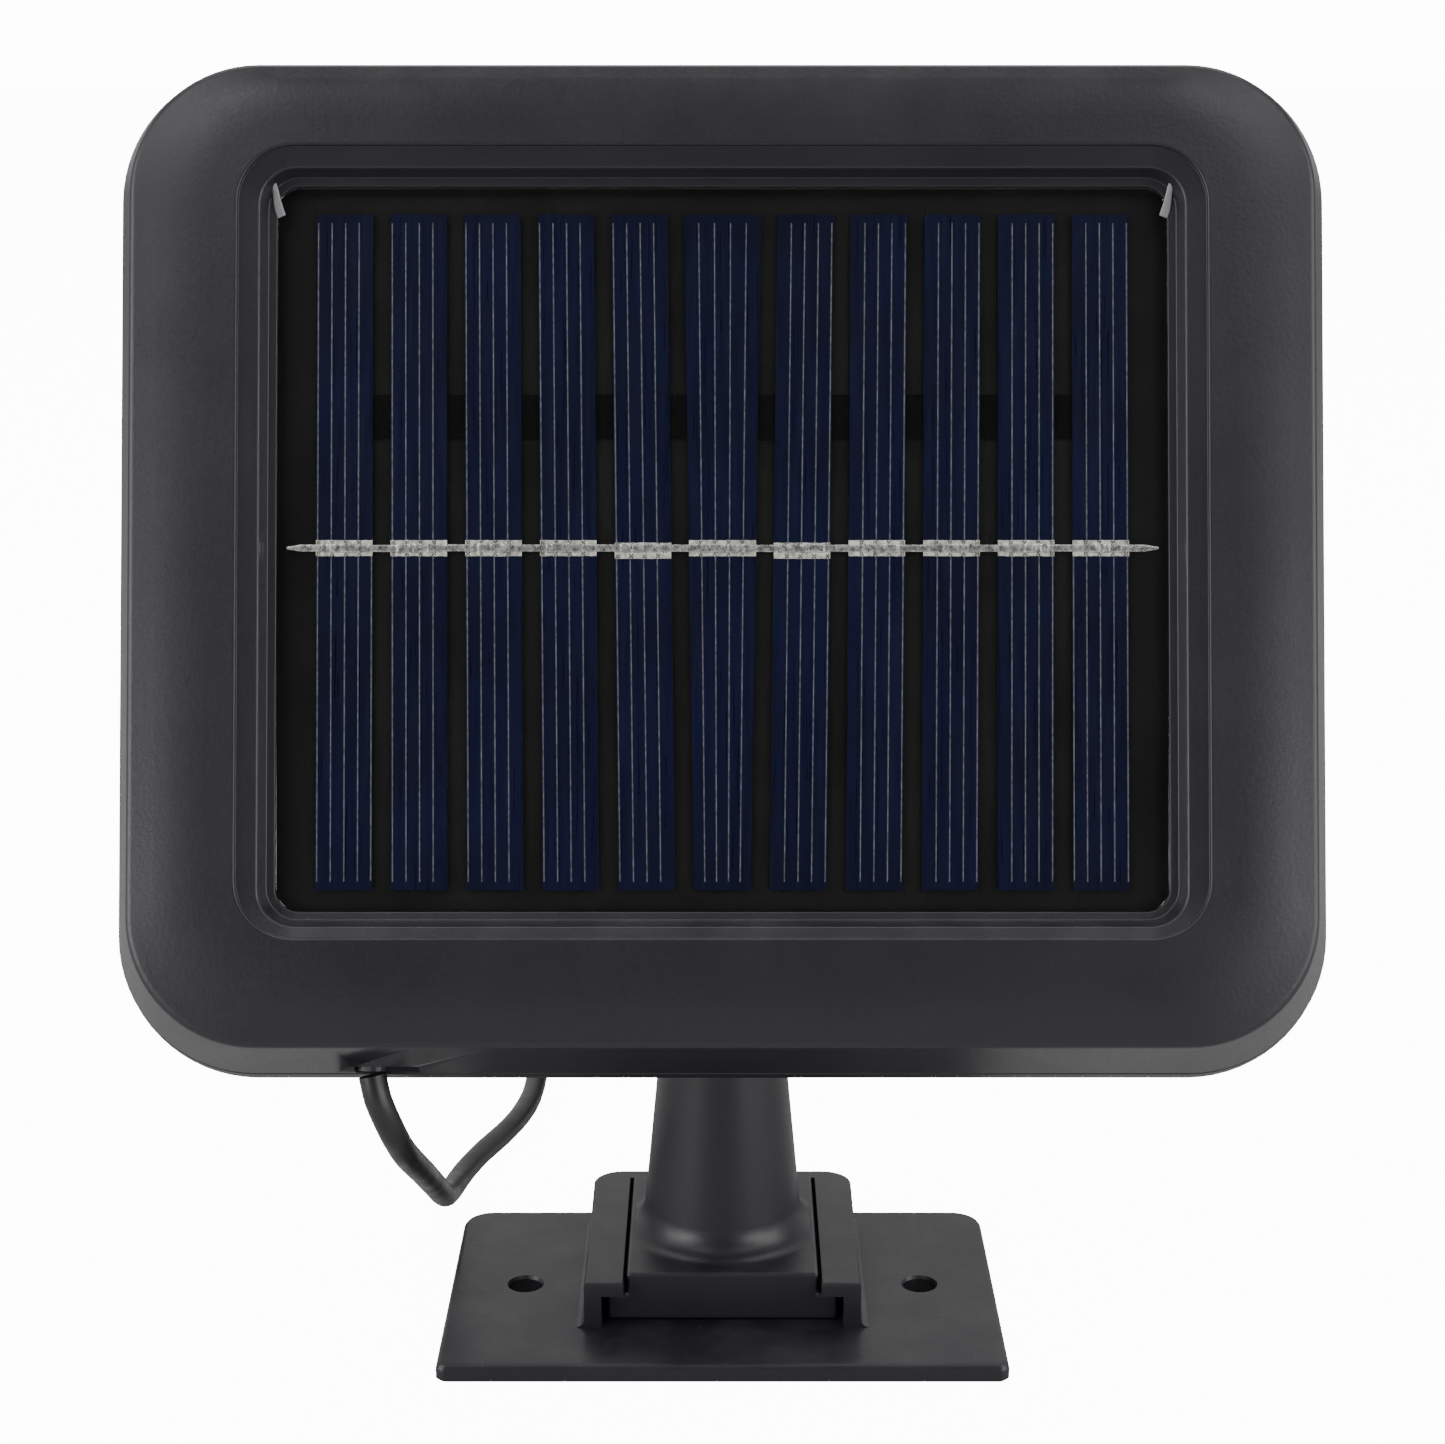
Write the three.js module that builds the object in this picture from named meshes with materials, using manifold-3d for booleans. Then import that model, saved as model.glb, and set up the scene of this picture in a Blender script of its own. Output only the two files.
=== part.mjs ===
// Solar charging panel of a split solar flood light, on its swivel-and-tilt wall bracket.
// Millimetres, +Z up.  The origin is the centre of the wall plate's flat underside, the plate
// lies on its back, +X is right and the panel faces -Y, leaning back.
import * as THREE from "three";
import { mergeVertices } from "three/addons/utils/BufferGeometryUtils.js";
import Module from "manifold-3d";

const wasm = await Module();
wasm.setup();

// ---------------------------------------------------------------- driving dimensions
const GAP = 0.3; // between touching pieces
const FIT = 0.1; // radial clearance of a pin or screw in its hole
const ROUND = 32; // sides of a large round
const SMALL_ROUND = 16; // sides of a screw or a wire
const CORNER_STEPS = 4; // half the facets of a rounded corner

// wall plate, with a channel that the foot slides into
const PLATE = { width: 72, depth: 44, thick: 2.4, cornerR: 4, frontR: 1.2 };
const PLATE_HOLE = { x: 26.1, r: 2.15 };
const CHANNEL = {
  width: 35.5, front: -12, wall: 2.2, lipThick: 1.9, height: 6.2, slotWidth: 25.4, backWall: 2.5,
  cornerR: 4,
};

// foot and post
const FOOT = { front: -10.4, back: 19.2, flangeWidth: 29.6, flangeTop: 3.9, width: 23.8, top: 6.8 };
const POST = { y: 4.6, baseR: 10.5, topR: 6.9, topZ: 48, filletR: 1.6, wall: 2.2, web: 4 };

// knuckle: turns on the post, and carries the tilt bolt
const KNUCKLE = { baseR: 9.5, baseHeight: 5, tongueThick: 8, tongueR: 7.2 };
const PIVOT_Z = 64;
const SWIVEL_SCREW = { r: 2, headR: 3.9, headHeight: 2.4, intoKnuckle: 4.2 };
const WASHER_THICK = 0.8;

// head: a local frame with x right, y up the panel and z out of its face, 0 on the cells' face
const HEAD = { y: -20.5, z: 105.7, leanDeg: 17 };
const RIDGE_Z = 4.3; // crest of the bezel, next to the recess
const FACE_EDGE_Z = 3.4; // its face falls a little towards the outer edge
const PARTING_Z = -9.4; // where the front frame meets the back cover
const REAR_EDGE_Z = -12.2; // the widest outline
const BACK_Z = -18.4; // the flat of the back cover
const SHELL = 2.2; // wall of both mouldings
const OUTLINE = {
  face: { right: 67.7, bottom: -56.4, top: 55.6, r: 14.6 },
  parting: { right: 71.4, bottom: -60.8, top: 58.9, r: 16.2 },
  rear: { right: 71.8, bottom: -61.7, top: 59.4, r: 16.6 },
};
const RIDGE = { right: 55.4, bottom: -44.2, top: 46.3, r: 6.6 };
const LEDGE = { right: 52.5, bottom: -42.5, top: 43.4, r: 4, z: 2.9 };
const STEP = { right: 52.2, bottom: -42.2, top: 43.1, r: 3.7, z: 1.8 };
const WINDOW = { right: 51.2, bottom: -41.3, top: 42.1, r: 2.7, z: 1 };
const LIP_BACK_Z = 0.8;
const BOARD = { right: 53, bottom: -43, top: 43.8, r: 2.2, front: -0.55, back: -1.75 };
const RESIN = { back: 0.3, front: 0.7 };
const POCKET_RIB = { thick: 1.6, back: -2.4 };

// solar cells and what joins them
const CELLS = {
  count: 11, width: 6.5, middleTopWidth: 8.9, length: 78, thick: 0.25, middle: 0.13,
  lowPitch: 8.71, topPitch: 8.5, topFirst: 9.6,
};
const RIBBON = { halfLength: 50.2, width: 0.7, back: 0.07, front: 0.17, middle: 0.5 };
const TAPE = { right: 40.2, bottom: 13.1, top: 18.3, back: -0.45, front: -0.35 };

// fasteners of the head
const CORNER_SCREW = { x: 59.2, top: 47.2, bottom: -48.2, r: 1.25, headR: 2.6, headHeight: 1.8 };
const SCREW_BOSS = { r: 3.3, back: -8.6 };
const EAR = { thick: 4, eyeR: 7.6, rootBottom: -43, rootTop: -13 };
const DRILL_LENGTH = 20; // longer than any hole through the cover
const BOLT = { r: 2.5, headR: 4.4, headHeight: 3, nutR: 4.5, nutHeight: 3.6, tail: 1.2 };

// lead: a round two-core cord that leaves the skirt through a slot in its lower edge
const CORD = { d: 3.3, sides: 8, steps: 54, tailSteps: 10 };
const SLOT = { x: -39.4, width: 7.6, depth: 3.6 };
const LEAD = { x: -41.1, z: -7.6, innerTop: -41 };
const CLAMP = { bottom: -52, top: -46.5, halfWidth: 8.5, thick: 2.2, screwX: 5.6 };

// the cord's route: out of the slot, down to the floor, back along it to the coil
const FLOOR_Z = CORD.d / 2 + 0.05;
const LEAD_ROUTE = [
  [-41.1, -31.0, 45.3], [-40.5, -31.6, 42.6], [-39.6, -31.3, 39.8], [-38.8, -29.6, 36.6],
  [-38.3, -26.0, 33.2], [-38.0, -20.5, 29.4], [-37.9, -12.5, 24.5], [-38.0, -3.0, 18.8],
  [-38.2, 6.5, 13.2], [-38.5, 15.0, 8.3], [-38.7, 22.5, 4.6], [-38.6, 29.5, 2.4],
  [-37.6, 36.5, FLOOR_Z], [-35.6, 43.0, FLOOR_Z], [-33.0, 49.6, FLOOR_Z],
  [-30.9, 56.4, FLOOR_Z], [-29.7, 63.5, FLOOR_Z], [-29.4, 71.0, FLOOR_Z],
  [-29.4, 79.0, FLOOR_Z], [-29.4, 87.6, FLOOR_Z],
];
const COIL = { x: -2.25, y: 104.3, meanR: 18.9, wide: 6, high: 4, lift: 0.9, chamfer: 1.2 };
const TAIL_ROUTE = [
  [25.6, 90.0, 9.6], [27.0, 84.2, 7.2], [30.6, 79.4, 4.6], [35.8, 77.6, 2.6],
  [41.2, 79.4, 2.2], [44.4, 84.2, 3.7], [45.0, 90.0, 4.9],
];
const TIE = { width: 3.4, thick: 0.5, turnDeg: 35 };
const PLUG = { x: 45, y: 90.7, z: 4.9, tailR: 2.3, gripR: 4.4, r: 4.8, gripLength: 12.6, length: 24 };
const PLUG_NUT = { innerR: 3.7, length: 8 };
const PLUG_BARREL = { r: 2.75, boreR: 1.1, boreDepth: 7, length: 9.6 };

// ---------------------------------------------------------------- finishes
const finish = (color, roughness, metalness = 0) => ({ color, roughness, metalness });
const FINISH = {
  casing: finish(0x2c2c30, 0.42),
  rubber: finish(0x161617, 0.75),
  steel: finish(0xa9abad, 0.32, 1),
  zinc: finish(0xb9bbb8, 0.4, 1),
  silicon: finish(0x121a33, 0.2),
  solder: finish(0xa8a8a2, 0.3, 1),
  board: finish(0x181816, 0.5),
  tape: finish(0x0a0a0a, 0.45),
  resin: finish(0xe8eef2, 0.06),
  silicone: finish(0xd9dad6, 0.6),
  jacket: finish(0x1c1b1d, 0.5),
  wireRed: finish(0xb01a14, 0.45),
  wireBlack: finish(0x141414, 0.45),
  brass: finish(0xb69a52, 0.35, 1),
};

// ---------------------------------------------------------------- solids
// A closed three.js geometry as a manifold-3d solid.
function solid(geometry) {
  const bare = geometry.clone();
  bare.deleteAttribute("normal");
  bare.deleteAttribute("uv");
  const merged = mergeVertices(bare, 1e-4);
  return new wasm.Manifold(
    new wasm.Mesh({
      numProp: 3,
      vertProperties: merged.attributes.position.array,
      triVerts: new Uint32Array(merged.index.array),
    }),
  );
}

function geometryOf(body) {
  const mesh = body.getMesh();
  return new THREE.BufferGeometry()
    .setAttribute("position", new THREE.BufferAttribute(mesh.vertProperties, 3))
    .setIndex(new THREE.BufferAttribute(mesh.triVerts, 1));
}

const join = (first, ...others) => others.reduce((whole, part) => whole.add(part), first);
const cut = (first, ...tools) => tools.reduce((whole, tool) => whole.subtract(tool), first);

// A box between two corners.
function box(low, high) {
  const size = high.map((value, axis) => value - low[axis]);
  const geometry = new THREE.BoxGeometry(...size);
  return solid(geometry.translate(...high.map((value, axis) => (value + low[axis]) / 2)));
}

// A cylinder or cone along +Z from z = 0, its two radii first and its height next.
function cone(bottomR, topR, height, sides = ROUND) {
  const geometry = new THREE.CylinderGeometry(topR, bottomR, height, sides);
  return solid(geometry.rotateX(Math.PI / 2).translate(0, 0, height / 2));
}

const rod = (r, height, sides = SMALL_ROUND) => cone(r, r, height, sides);
const alongX = (body) => body.rotate([0, 90, 0]);

// A closed loop of [radius, height] points turned about +Z.
function turned(profile, sides = ROUND) {
  const points = [...profile, profile[0]].map(([r, z]) => new THREE.Vector2(r, z));
  return solid(new THREE.LatheGeometry(points, sides).rotateX(Math.PI / 2));
}

// Four-sided outline with round corners, grown or shrunk by an offset.
function outline({ right, bottom, top, r, left = -right }, offset = 0) {
  const radius = Math.max(r + offset, 0.4);
  const [x0, x1, y0, y1] = [left - offset, right + offset, bottom - offset, top + offset];
  const shape = new THREE.Shape();
  shape.absarc(x1 - radius, y1 - radius, radius, 0, Math.PI / 2);
  shape.absarc(x0 + radius, y1 - radius, radius, Math.PI / 2, Math.PI);
  shape.absarc(x0 + radius, y0 + radius, radius, Math.PI, 1.5 * Math.PI);
  shape.absarc(x1 - radius, y0 + radius, radius, 1.5 * Math.PI, 2 * Math.PI);
  return shape.getPoints(CORNER_STEPS);
}

// A solid through outlines of equal point count, each [outline points, z], with z rising.
function loft(sections) {
  const count = sections[0][0].length;
  const positions = sections.flatMap(([points, z]) => points.flatMap(({ x, y }) => [x, y, z]));
  const index = [];
  for (let layer = 0; layer + 1 < sections.length; layer++)
    for (let i = 0; i < count; i++) {
      const [a, b] = [layer * count + i, layer * count + ((i + 1) % count)];
      index.push(a, b, b + count, a, b + count, a + count);
    }
  const last = (sections.length - 1) * count;
  for (const [a, b, c] of THREE.ShapeUtils.triangulateShape(sections[0][0], []))
    index.push(c, b, a, last + a, last + b, last + c);
  return solid(
    new THREE.BufferGeometry()
      .setAttribute("position", new THREE.Float32BufferAttribute(positions, 3))
      .setIndex(index),
  );
}

const prism = (points, low, high) => loft([[points, low], [points, high]]);

// A round tube through points, with flat ends.
function tube(points, diameter, sides, steps) {
  const path = new THREE.CatmullRomCurve3(points.map((point) => new THREE.Vector3(...point)));
  const section = new THREE.Shape();
  for (let i = 0; i < sides; i++) {
    const angle = ((i + 0.5) / sides) * 2 * Math.PI;
    const place = [(diameter / 2) * Math.cos(angle), (diameter / 2) * Math.sin(angle)];
    if (i) section.lineTo(...place);
    else section.moveTo(...place);
  }
  return solid(new THREE.ExtrudeGeometry(section, { steps, extrudePath: path }));
}

// ---------------------------------------------------------------- bracket
const PLATE_TOP = PLATE.thick;

function wallPlate() {
  const half = PLATE.width / 2;
  const edge = PLATE.depth / 2;
  const back = { right: half, bottom: 0, top: edge, r: PLATE.cornerR };
  const front = { right: half, bottom: -edge, top: edge - PLATE.cornerR, r: PLATE.frontR };
  const plate = join(prism(outline(back), 0, PLATE.thick), prism(outline(front), 0, PLATE.thick));
  const side = CHANNEL.width / 2;
  const top = PLATE_TOP + CHANNEL.height;
  const stop = edge - CHANNEL.backWall;
  const rear = { right: side, bottom: 0, top: edge, r: CHANNEL.cornerR };
  const channel = join(
    prism(outline(rear), PLATE_TOP - 0.5, top),
    box([-side, CHANNEL.front, PLATE_TOP - 0.5], [side, edge - CHANNEL.cornerR, top]),
  );
  const inside = side - CHANNEL.wall;
  const slot = CHANNEL.slotWidth / 2;
  const open = CHANNEL.front - 1;
  const holes = [-PLATE_HOLE.x, PLATE_HOLE.x].map((x) =>
    rod(PLATE_HOLE.r, PLATE.thick + 2, ROUND).translate([x, 0, -1]),
  );
  return cut(
    join(plate, channel),
    box([-inside, open, PLATE_TOP], [inside, stop, top - CHANNEL.lipThick]),
    box([-slot, open, PLATE_TOP], [slot, stop, top + 1]),
    ...holes,
  );
}

// Foot, fillet and tapered post in one moulding, hollow from below.
function neckPost() {
  const flange = FOOT.flangeWidth / 2;
  const block = FOOT.width / 2;
  const low = PLATE_TOP + GAP;
  const seat = PLATE_TOP + FOOT.top;
  const foot = join(
    box([-flange, FOOT.front, low], [flange, FOOT.back, PLATE_TOP + FOOT.flangeTop]),
    box([-block, FOOT.front, low], [block, FOOT.back, seat]),
  );
  const height = POST.topZ - seat;
  const outer = join(
    cone(POST.baseR + POST.filletR, POST.baseR, POST.filletR).translate([0, 0, seat - 0.01]),
    cone(POST.baseR, POST.topR, height).translate([0, 0, seat]),
  ).translate([0, POST.y, 0]);
  const ceiling = POST.topZ - POST.web;
  const bore = cone(POST.baseR - POST.wall, POST.topR - POST.wall, ceiling - low + 1);
  const screwHole = rod(SWIVEL_SCREW.r + FIT, POST.web + 2);
  return cut(
    join(foot, outer),
    bore.translate([0, POST.y, low - 1]),
    screwHole.translate([0, POST.y, ceiling - 1]),
  );
}

const KNUCKLE_LOW = POST.topZ + GAP;
const BOLT_HOLE_R = BOLT.r + FIT;

function knuckle() {
  const shoulder = KNUCKLE_LOW + KNUCKLE.baseHeight;
  const half = KNUCKLE.tongueThick / 2;
  const base = join(
    cone(KNUCKLE.baseR - 1, KNUCKLE.baseR, 1),
    cone(KNUCKLE.baseR, KNUCKLE.baseR, KNUCKLE.baseHeight - 1).translate([0, 0, 1]),
  ).translate([0, 0, KNUCKLE_LOW]);
  const tongue = join(
    box([-half, -KNUCKLE.tongueR, shoulder - 1], [half, KNUCKLE.tongueR, PIVOT_Z]),
    alongX(rod(KNUCKLE.tongueR, KNUCKLE.tongueThick, ROUND)).translate([-half, 0, PIVOT_Z]),
  );
  const boltHole = alongX(rod(BOLT_HOLE_R, KNUCKLE.tongueThick + 2));
  const screwHole = rod(SWIVEL_SCREW.r + FIT, SWIVEL_SCREW.intoKnuckle + 1 + GAP);
  return cut(
    join(base, tongue),
    boltHole.translate([-half - 1, 0, PIVOT_Z]),
    screwHole.translate([0, 0, KNUCKLE_LOW - 1]),
  ).translate([0, POST.y, 0]);
}

// Pan-head screw along +Z: its head starts at z = 0 and points down, its shank goes up.
function panScrew({ r, headR, headHeight }, length) {
  const crown = [[0, -headHeight], [headR * 0.62, -headHeight], [headR, -headHeight * 0.4]];
  const shank = [[headR, 0], [r, 0], [r, length - r * 0.6], [r * 0.4, length], [0, length]];
  const body = turned([...crown, ...shank], SMALL_ROUND);
  const arm = headR * 0.5;
  const recess = [
    box([-arm, -headR * 0.12, -headHeight - 1], [arm, headR * 0.12, -headHeight * 0.45]),
    box([-headR * 0.12, -arm, -headHeight - 1], [headR * 0.12, arm, -headHeight * 0.45]),
  ];
  return cut(body, ...recess);
}

const ring = (outerR, innerR, thick, sides = ROUND) =>
  turned([[innerR, 0], [outerR, 0], [outerR, thick], [innerR, thick]], sides);

const CEILING_Z = POST.topZ - POST.web;
const WASHER_Z = CEILING_Z - GAP - WASHER_THICK;

function swivelWasher() {
  const washer = ring(SWIVEL_SCREW.headR + 0.2, SWIVEL_SCREW.r + FIT, WASHER_THICK);
  return washer.translate([0, POST.y, WASHER_Z]);
}

function swivelScrew() {
  const seat = WASHER_Z - GAP / 3;
  const length = KNUCKLE_LOW + SWIVEL_SCREW.intoKnuckle - seat;
  return panScrew(SWIVEL_SCREW, length).translate([0, POST.y, seat]);
}

// ---------------------------------------------------------------- head mouldings
const innerOf = (shape) => outline(shape, -SHELL);

function frontFrame() {
  const shell = loft([
    [outline(OUTLINE.parting), PARTING_Z],
    [outline(OUTLINE.face, 0.15), FACE_EDGE_Z - 0.7],
    [outline(OUTLINE.face, -0.6), FACE_EDGE_Z],
    [outline(RIDGE), RIDGE_Z],
  ]);
  const ceiling = FACE_EDGE_Z - SHELL;
  const hollow = loft([
    [innerOf(OUTLINE.parting), PARTING_Z - 0.01],
    [innerOf(OUTLINE.face), ceiling],
  ]);
  const rib = prism(outline(BOARD, GAP + POCKET_RIB.thick), POCKET_RIB.back, ceiling + 0.5);
  const bosses = cornerPlaces().map(([x, y]) =>
    rod(SCREW_BOSS.r, ceiling - SCREW_BOSS.back + 0.5, ROUND).translate([x, y, SCREW_BOSS.back]),
  );
  const pilots = cornerPlaces().map(([x, y]) =>
    rod(CORNER_SCREW.r + FIT, ceiling - SCREW_BOSS.back - 0.5).translate([x, y, SCREW_BOSS.back - 1]),
  );
  const pocket = prism(outline(BOARD, GAP), PARTING_Z - 1, LIP_BACK_Z);
  const recess = loft([
    [outline(WINDOW), LIP_BACK_Z - 0.5],
    ...[WINDOW, STEP, LEDGE].map((edge) => [outline(edge), edge.z]),
    [outline(RIDGE, -0.2), RIDGE_Z],
    [outline(RIDGE, -0.2), RIDGE_Z + 1],
  ]);
  const slot = box(
    [SLOT.x - SLOT.width / 2, OUTLINE.rear.bottom - 2, PARTING_Z - 1],
    [SLOT.x + SLOT.width / 2, OUTLINE.face.bottom + SHELL + 3, PARTING_Z + SLOT.depth],
  );
  const carcass = join(cut(shell, cut(hollow, rib)), ...bosses);
  return cut(carcass, pocket, recess, slot, ...pilots);
}

function cornerPlaces() {
  const { x, top, bottom } = CORNER_SCREW;
  return [[-x, bottom], [x, bottom], [-x, top], [x, top]];
}

// The tilt pivot in the head's own frame.
const LEAN = THREE.MathUtils.degToRad(HEAD.leanDeg);
const PIVOT_LOCAL = (() => {
  const [y, z] = [POST.y - HEAD.y, PIVOT_Z - HEAD.z];
  return {
    y: y * Math.sin(LEAN) + z * Math.cos(LEAN),
    z: -y * Math.cos(LEAN) + z * Math.sin(LEAN),
  };
})();

const COVER_FRONT = PARTING_Z - GAP;
const COVER_FLOOR = BACK_Z + SHELL;
const SADDLE_TOP = LEAD.z - CORD.d / 2 - GAP;
const SCREW_SEAT_Z = REAR_EDGE_Z - 2;
const RIM = SHELL + 1.8; // width of the cover's rim

function backCover() {
  const shell = loft([
    [outline(OUTLINE.rear, -10), BACK_Z],
    [outline(OUTLINE.rear, -8.6), BACK_Z + 0.6],
    [outline(OUTLINE.rear, -1.2), REAR_EDGE_Z - 1],
    [outline(OUTLINE.rear), REAR_EDGE_Z],
    [outline(OUTLINE.parting, 0.1), COVER_FRONT],
  ]);
  const hollow = loft([
    [outline(OUTLINE.rear, -10), COVER_FLOOR],
    [outline(OUTLINE.rear, -RIM), REAR_EDGE_Z - 0.6],
    [outline(OUTLINE.parting, -RIM), COVER_FRONT + 0.01],
  ]);
  const posts = cornerPlaces().map(([x, y]) =>
    rod(SCREW_BOSS.r + 0.6, COVER_FRONT - COVER_FLOOR + 0.4, ROUND).translate([x, y, COVER_FLOOR - 0.4]),
  );
  const drills = cornerPlaces().map(([x, y]) => {
    const shank = rod(CORNER_SCREW.r + 2 * FIT, DRILL_LENGTH).translate([x, y, BACK_Z - 1]);
    const head = rod(CORNER_SCREW.headR + 0.4, DRILL_LENGTH, ROUND);
    return join(shank, head.translate([x, y, SCREW_SEAT_Z - DRILL_LENGTH]));
  });
  const saddle = box(
    [LEAD.x - CLAMP.halfWidth, CLAMP.bottom, COVER_FLOOR - 0.5],
    [LEAD.x + CLAMP.halfWidth, CLAMP.top, SADDLE_TOP],
  );
  const pilots = clampScrewPlaces().map(([x, y]) =>
    rod(CLAMP_SCREW.r + FIT, DRILL_LENGTH).translate([x, y, COVER_FLOOR + 0.6]),
  );
  return cut(join(cut(shell, hollow), saddle, ...posts, ear(1), ear(-1)), ...drills, ...pilots);
}

// One hinge ear: a gusset from the cover's flat to a round eye on the tilt axis.
function ear(side) {
  const { y, z } = PIVOT_LOCAL;
  const root = BACK_Z + 1;
  // the angle at which a line from a root corner touches the eye
  const touch = (rootY, turn) => {
    const reach = Math.hypot(rootY - y, root - z);
    return Math.atan2(root - z, rootY - y) + turn * Math.acos(EAR.eyeR / reach);
  };
  const profile = new THREE.Shape();
  profile.moveTo(EAR.rootBottom, root);
  profile.lineTo(EAR.rootTop, root);
  profile.absarc(y, z, EAR.eyeR, touch(EAR.rootTop, -1), touch(EAR.rootBottom, 1), true);
  const points = profile.getPoints(8).reverse();
  const inner = KNUCKLE.tongueThick / 2 + GAP;
  const [low, high] = side > 0 ? [inner, inner + EAR.thick] : [-inner - EAR.thick, -inner];
  const hole = alongX(rod(BOLT_HOLE_R, 2 * DRILL_LENGTH)).translate([-DRILL_LENGTH, y, z]);
  return cut(prism(points, low, high).rotate([90, 0, 90]), hole);
}

// A band that follows an outline, between two insets from it.
const band = (shape, outerInset, innerInset, low, high) =>
  cut(prism(outline(shape, -outerInset), low, high), prism(outline(shape, -innerInset), low - 1, high + 1));

function coverGasket() {
  const gasket = band(OUTLINE.parting, SHELL + GAP, RIM - 0.1, COVER_FRONT + FIT, PARTING_Z + 0.5);
  const half = SLOT.width / 2;
  return cut(gasket, box([SLOT.x - half, OUTLINE.rear.bottom, -20], [SLOT.x + half, BOARD.bottom, 0]));
}

// ---------------------------------------------------------------- panel inside the frame
const panelBoard = () => prism(outline(BOARD), BOARD.back, BOARD.front);
const panelResin = () => prism(outline(BOARD), RESIN.back, RESIN.front);
const panelSealant = () => band(BOARD, 0, 2.4, BOARD.back - 1.5, BOARD.back - FIT);

function backingTape() {
  return box([-TAPE.right, TAPE.bottom, TAPE.back], [TAPE.right, TAPE.top, TAPE.front]);
}

// A strip of silicon; the middle one widens towards the top, and its neighbours make room.
function solarCell(index) {
  const place = index - (CELLS.count - 1) / 2;
  const [low, high] = [CELLS.middle - CELLS.length / 2, CELLS.middle + CELLS.length / 2];
  const lowX = place * CELLS.lowPitch;
  const topX = place && Math.sign(place) * (CELLS.topFirst + (Math.abs(place) - 1) * CELLS.topPitch);
  const lowHalf = CELLS.width / 2;
  const topHalf = (place ? CELLS.width : CELLS.middleTopWidth) / 2;
  const corners = [
    [lowX - lowHalf, low], [lowX + lowHalf, low], [topX + topHalf, high], [topX - topHalf, high],
  ];
  return prism(corners.map(([x, y]) => new THREE.Vector2(x, y)), -CELLS.thick, 0);
}

function tabRibbon() {
  const [low, high] = [RIBBON.middle - RIBBON.width / 2, RIBBON.middle + RIBBON.width / 2];
  return box([-RIBBON.halfLength, low, RIBBON.back], [RIBBON.halfLength, high, RIBBON.front]);
}

// ---------------------------------------------------------------- wiring inside the head
const TERMINAL = { x: [-31, -21], y: -36, rootR: 1.9, tipR: 1.2, height: 0.95 };
const WIRE_D = 1.4;

function terminal(which) {
  const low = BOARD.back - FIT - TERMINAL.height;
  return cone(TERMINAL.tipR, TERMINAL.rootR, TERMINAL.height, SMALL_ROUND).translate([
    TERMINAL.x[which], TERMINAL.y, low,
  ]);
}

function wire(which) {
  const side = which ? 1 : -1;
  const startY = LEAD.innerTop + GAP;
  const endZ = BOARD.back - FIT - TERMINAL.height - WIRE_D / 2 - FIT;
  const end = TERMINAL.x[which];
  const route = [
    [LEAD.x + side * 0.85, startY, LEAD.z],
    [LEAD.x + side * 0.95, startY + 2.5, LEAD.z + 0.1],
    [LEAD.x + 3 + side * 1.6, TERMINAL.y + 1.5 - side * 1.6, LEAD.z + 1.2],
    [end - 4, TERMINAL.y + 0.4 - side * 0.5, endZ - 0.9],
    [end, TERMINAL.y, endZ],
  ];
  return tube(route, WIRE_D, 6, 10);
}

function blockingDiode() {
  const [bodyR, bodyHalf, wireR, wireHalf] = [1.35, 2.6, 0.4, 6.5];
  const side = [[0, -wireHalf], [wireR, -wireHalf], [wireR, -bodyHalf], [bodyR, -bodyHalf]];
  const rest = side.map(([r, z]) => [r, -z]).reverse();
  const diode = alongX(turned([...side, ...rest], SMALL_ROUND));
  return diode.translate([-6, TERMINAL.y, BOARD.back - bodyR - GAP]);
}

function leadInner() {
  const low = OUTLINE.parting.bottom + 0.6;
  const jacket = rod(CORD.d / 2, LEAD.innerTop - low, SMALL_ROUND).rotate([-90, 0, 0]);
  return jacket.translate([LEAD.x, low, LEAD.z]);
}

function cordGrommet() {
  const grommet = turned([
    [CORD.d / 2 + FIT, 0], [3.2, 0], [3.2, 1.4], [2.5, 1.4], [2.5, 2.4], [3.2, 2.4], [3.2, 3.8],
    [CORD.d / 2 + FIT, 3.8],
  ], SMALL_ROUND);
  return grommet.rotate([-90, 0, 0]).translate([LEAD.x, CLAMP.bottom - 4.2, LEAD.z]);
}

const CLAMP_SCREW = { r: 1.1, headR: 2.2, headHeight: 1.4 };
const CLAMP_LOW = LEAD.z + CORD.d / 2 + GAP;

function clampScrewPlaces() {
  const y = (CLAMP.bottom + CLAMP.top) / 2;
  return [[LEAD.x - CLAMP.screwX, y], [LEAD.x + CLAMP.screwX, y]];
}

function cableClamp() {
  const [low, high] = [CLAMP_LOW, CLAMP_LOW + CLAMP.thick];
  const bar = { right: LEAD.x + CLAMP.halfWidth, left: LEAD.x - CLAMP.halfWidth, r: 1.6 };
  const holes = clampScrewPlaces().map(([x, y]) =>
    rod(CLAMP_SCREW.r + FIT, CLAMP.thick + 2).translate([x, y, low - 1]),
  );
  return cut(prism(outline({ ...bar, bottom: CLAMP.bottom, top: CLAMP.top }), low, high), ...holes);
}

function clampScrew(which) {
  const [x, y] = clampScrewPlaces()[which];
  const seat = CLAMP_LOW + CLAMP.thick + FIT;
  return panScrew(CLAMP_SCREW, 8).rotate([180, 0, 0]).translate([x, y, seat]);
}

function coverScrew(which) {
  const [x, y] = cornerPlaces()[which];
  return panScrew(CORNER_SCREW, 12).translate([x, y, SCREW_SEAT_Z - FIT]);
}

// ---------------------------------------------------------------- tilt bolt
const EAR_OUTER = KNUCKLE.tongueThick / 2 + GAP + EAR.thick;
const ON_PIVOT = [0, PIVOT_LOCAL.y, PIVOT_LOCAL.z];

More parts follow.
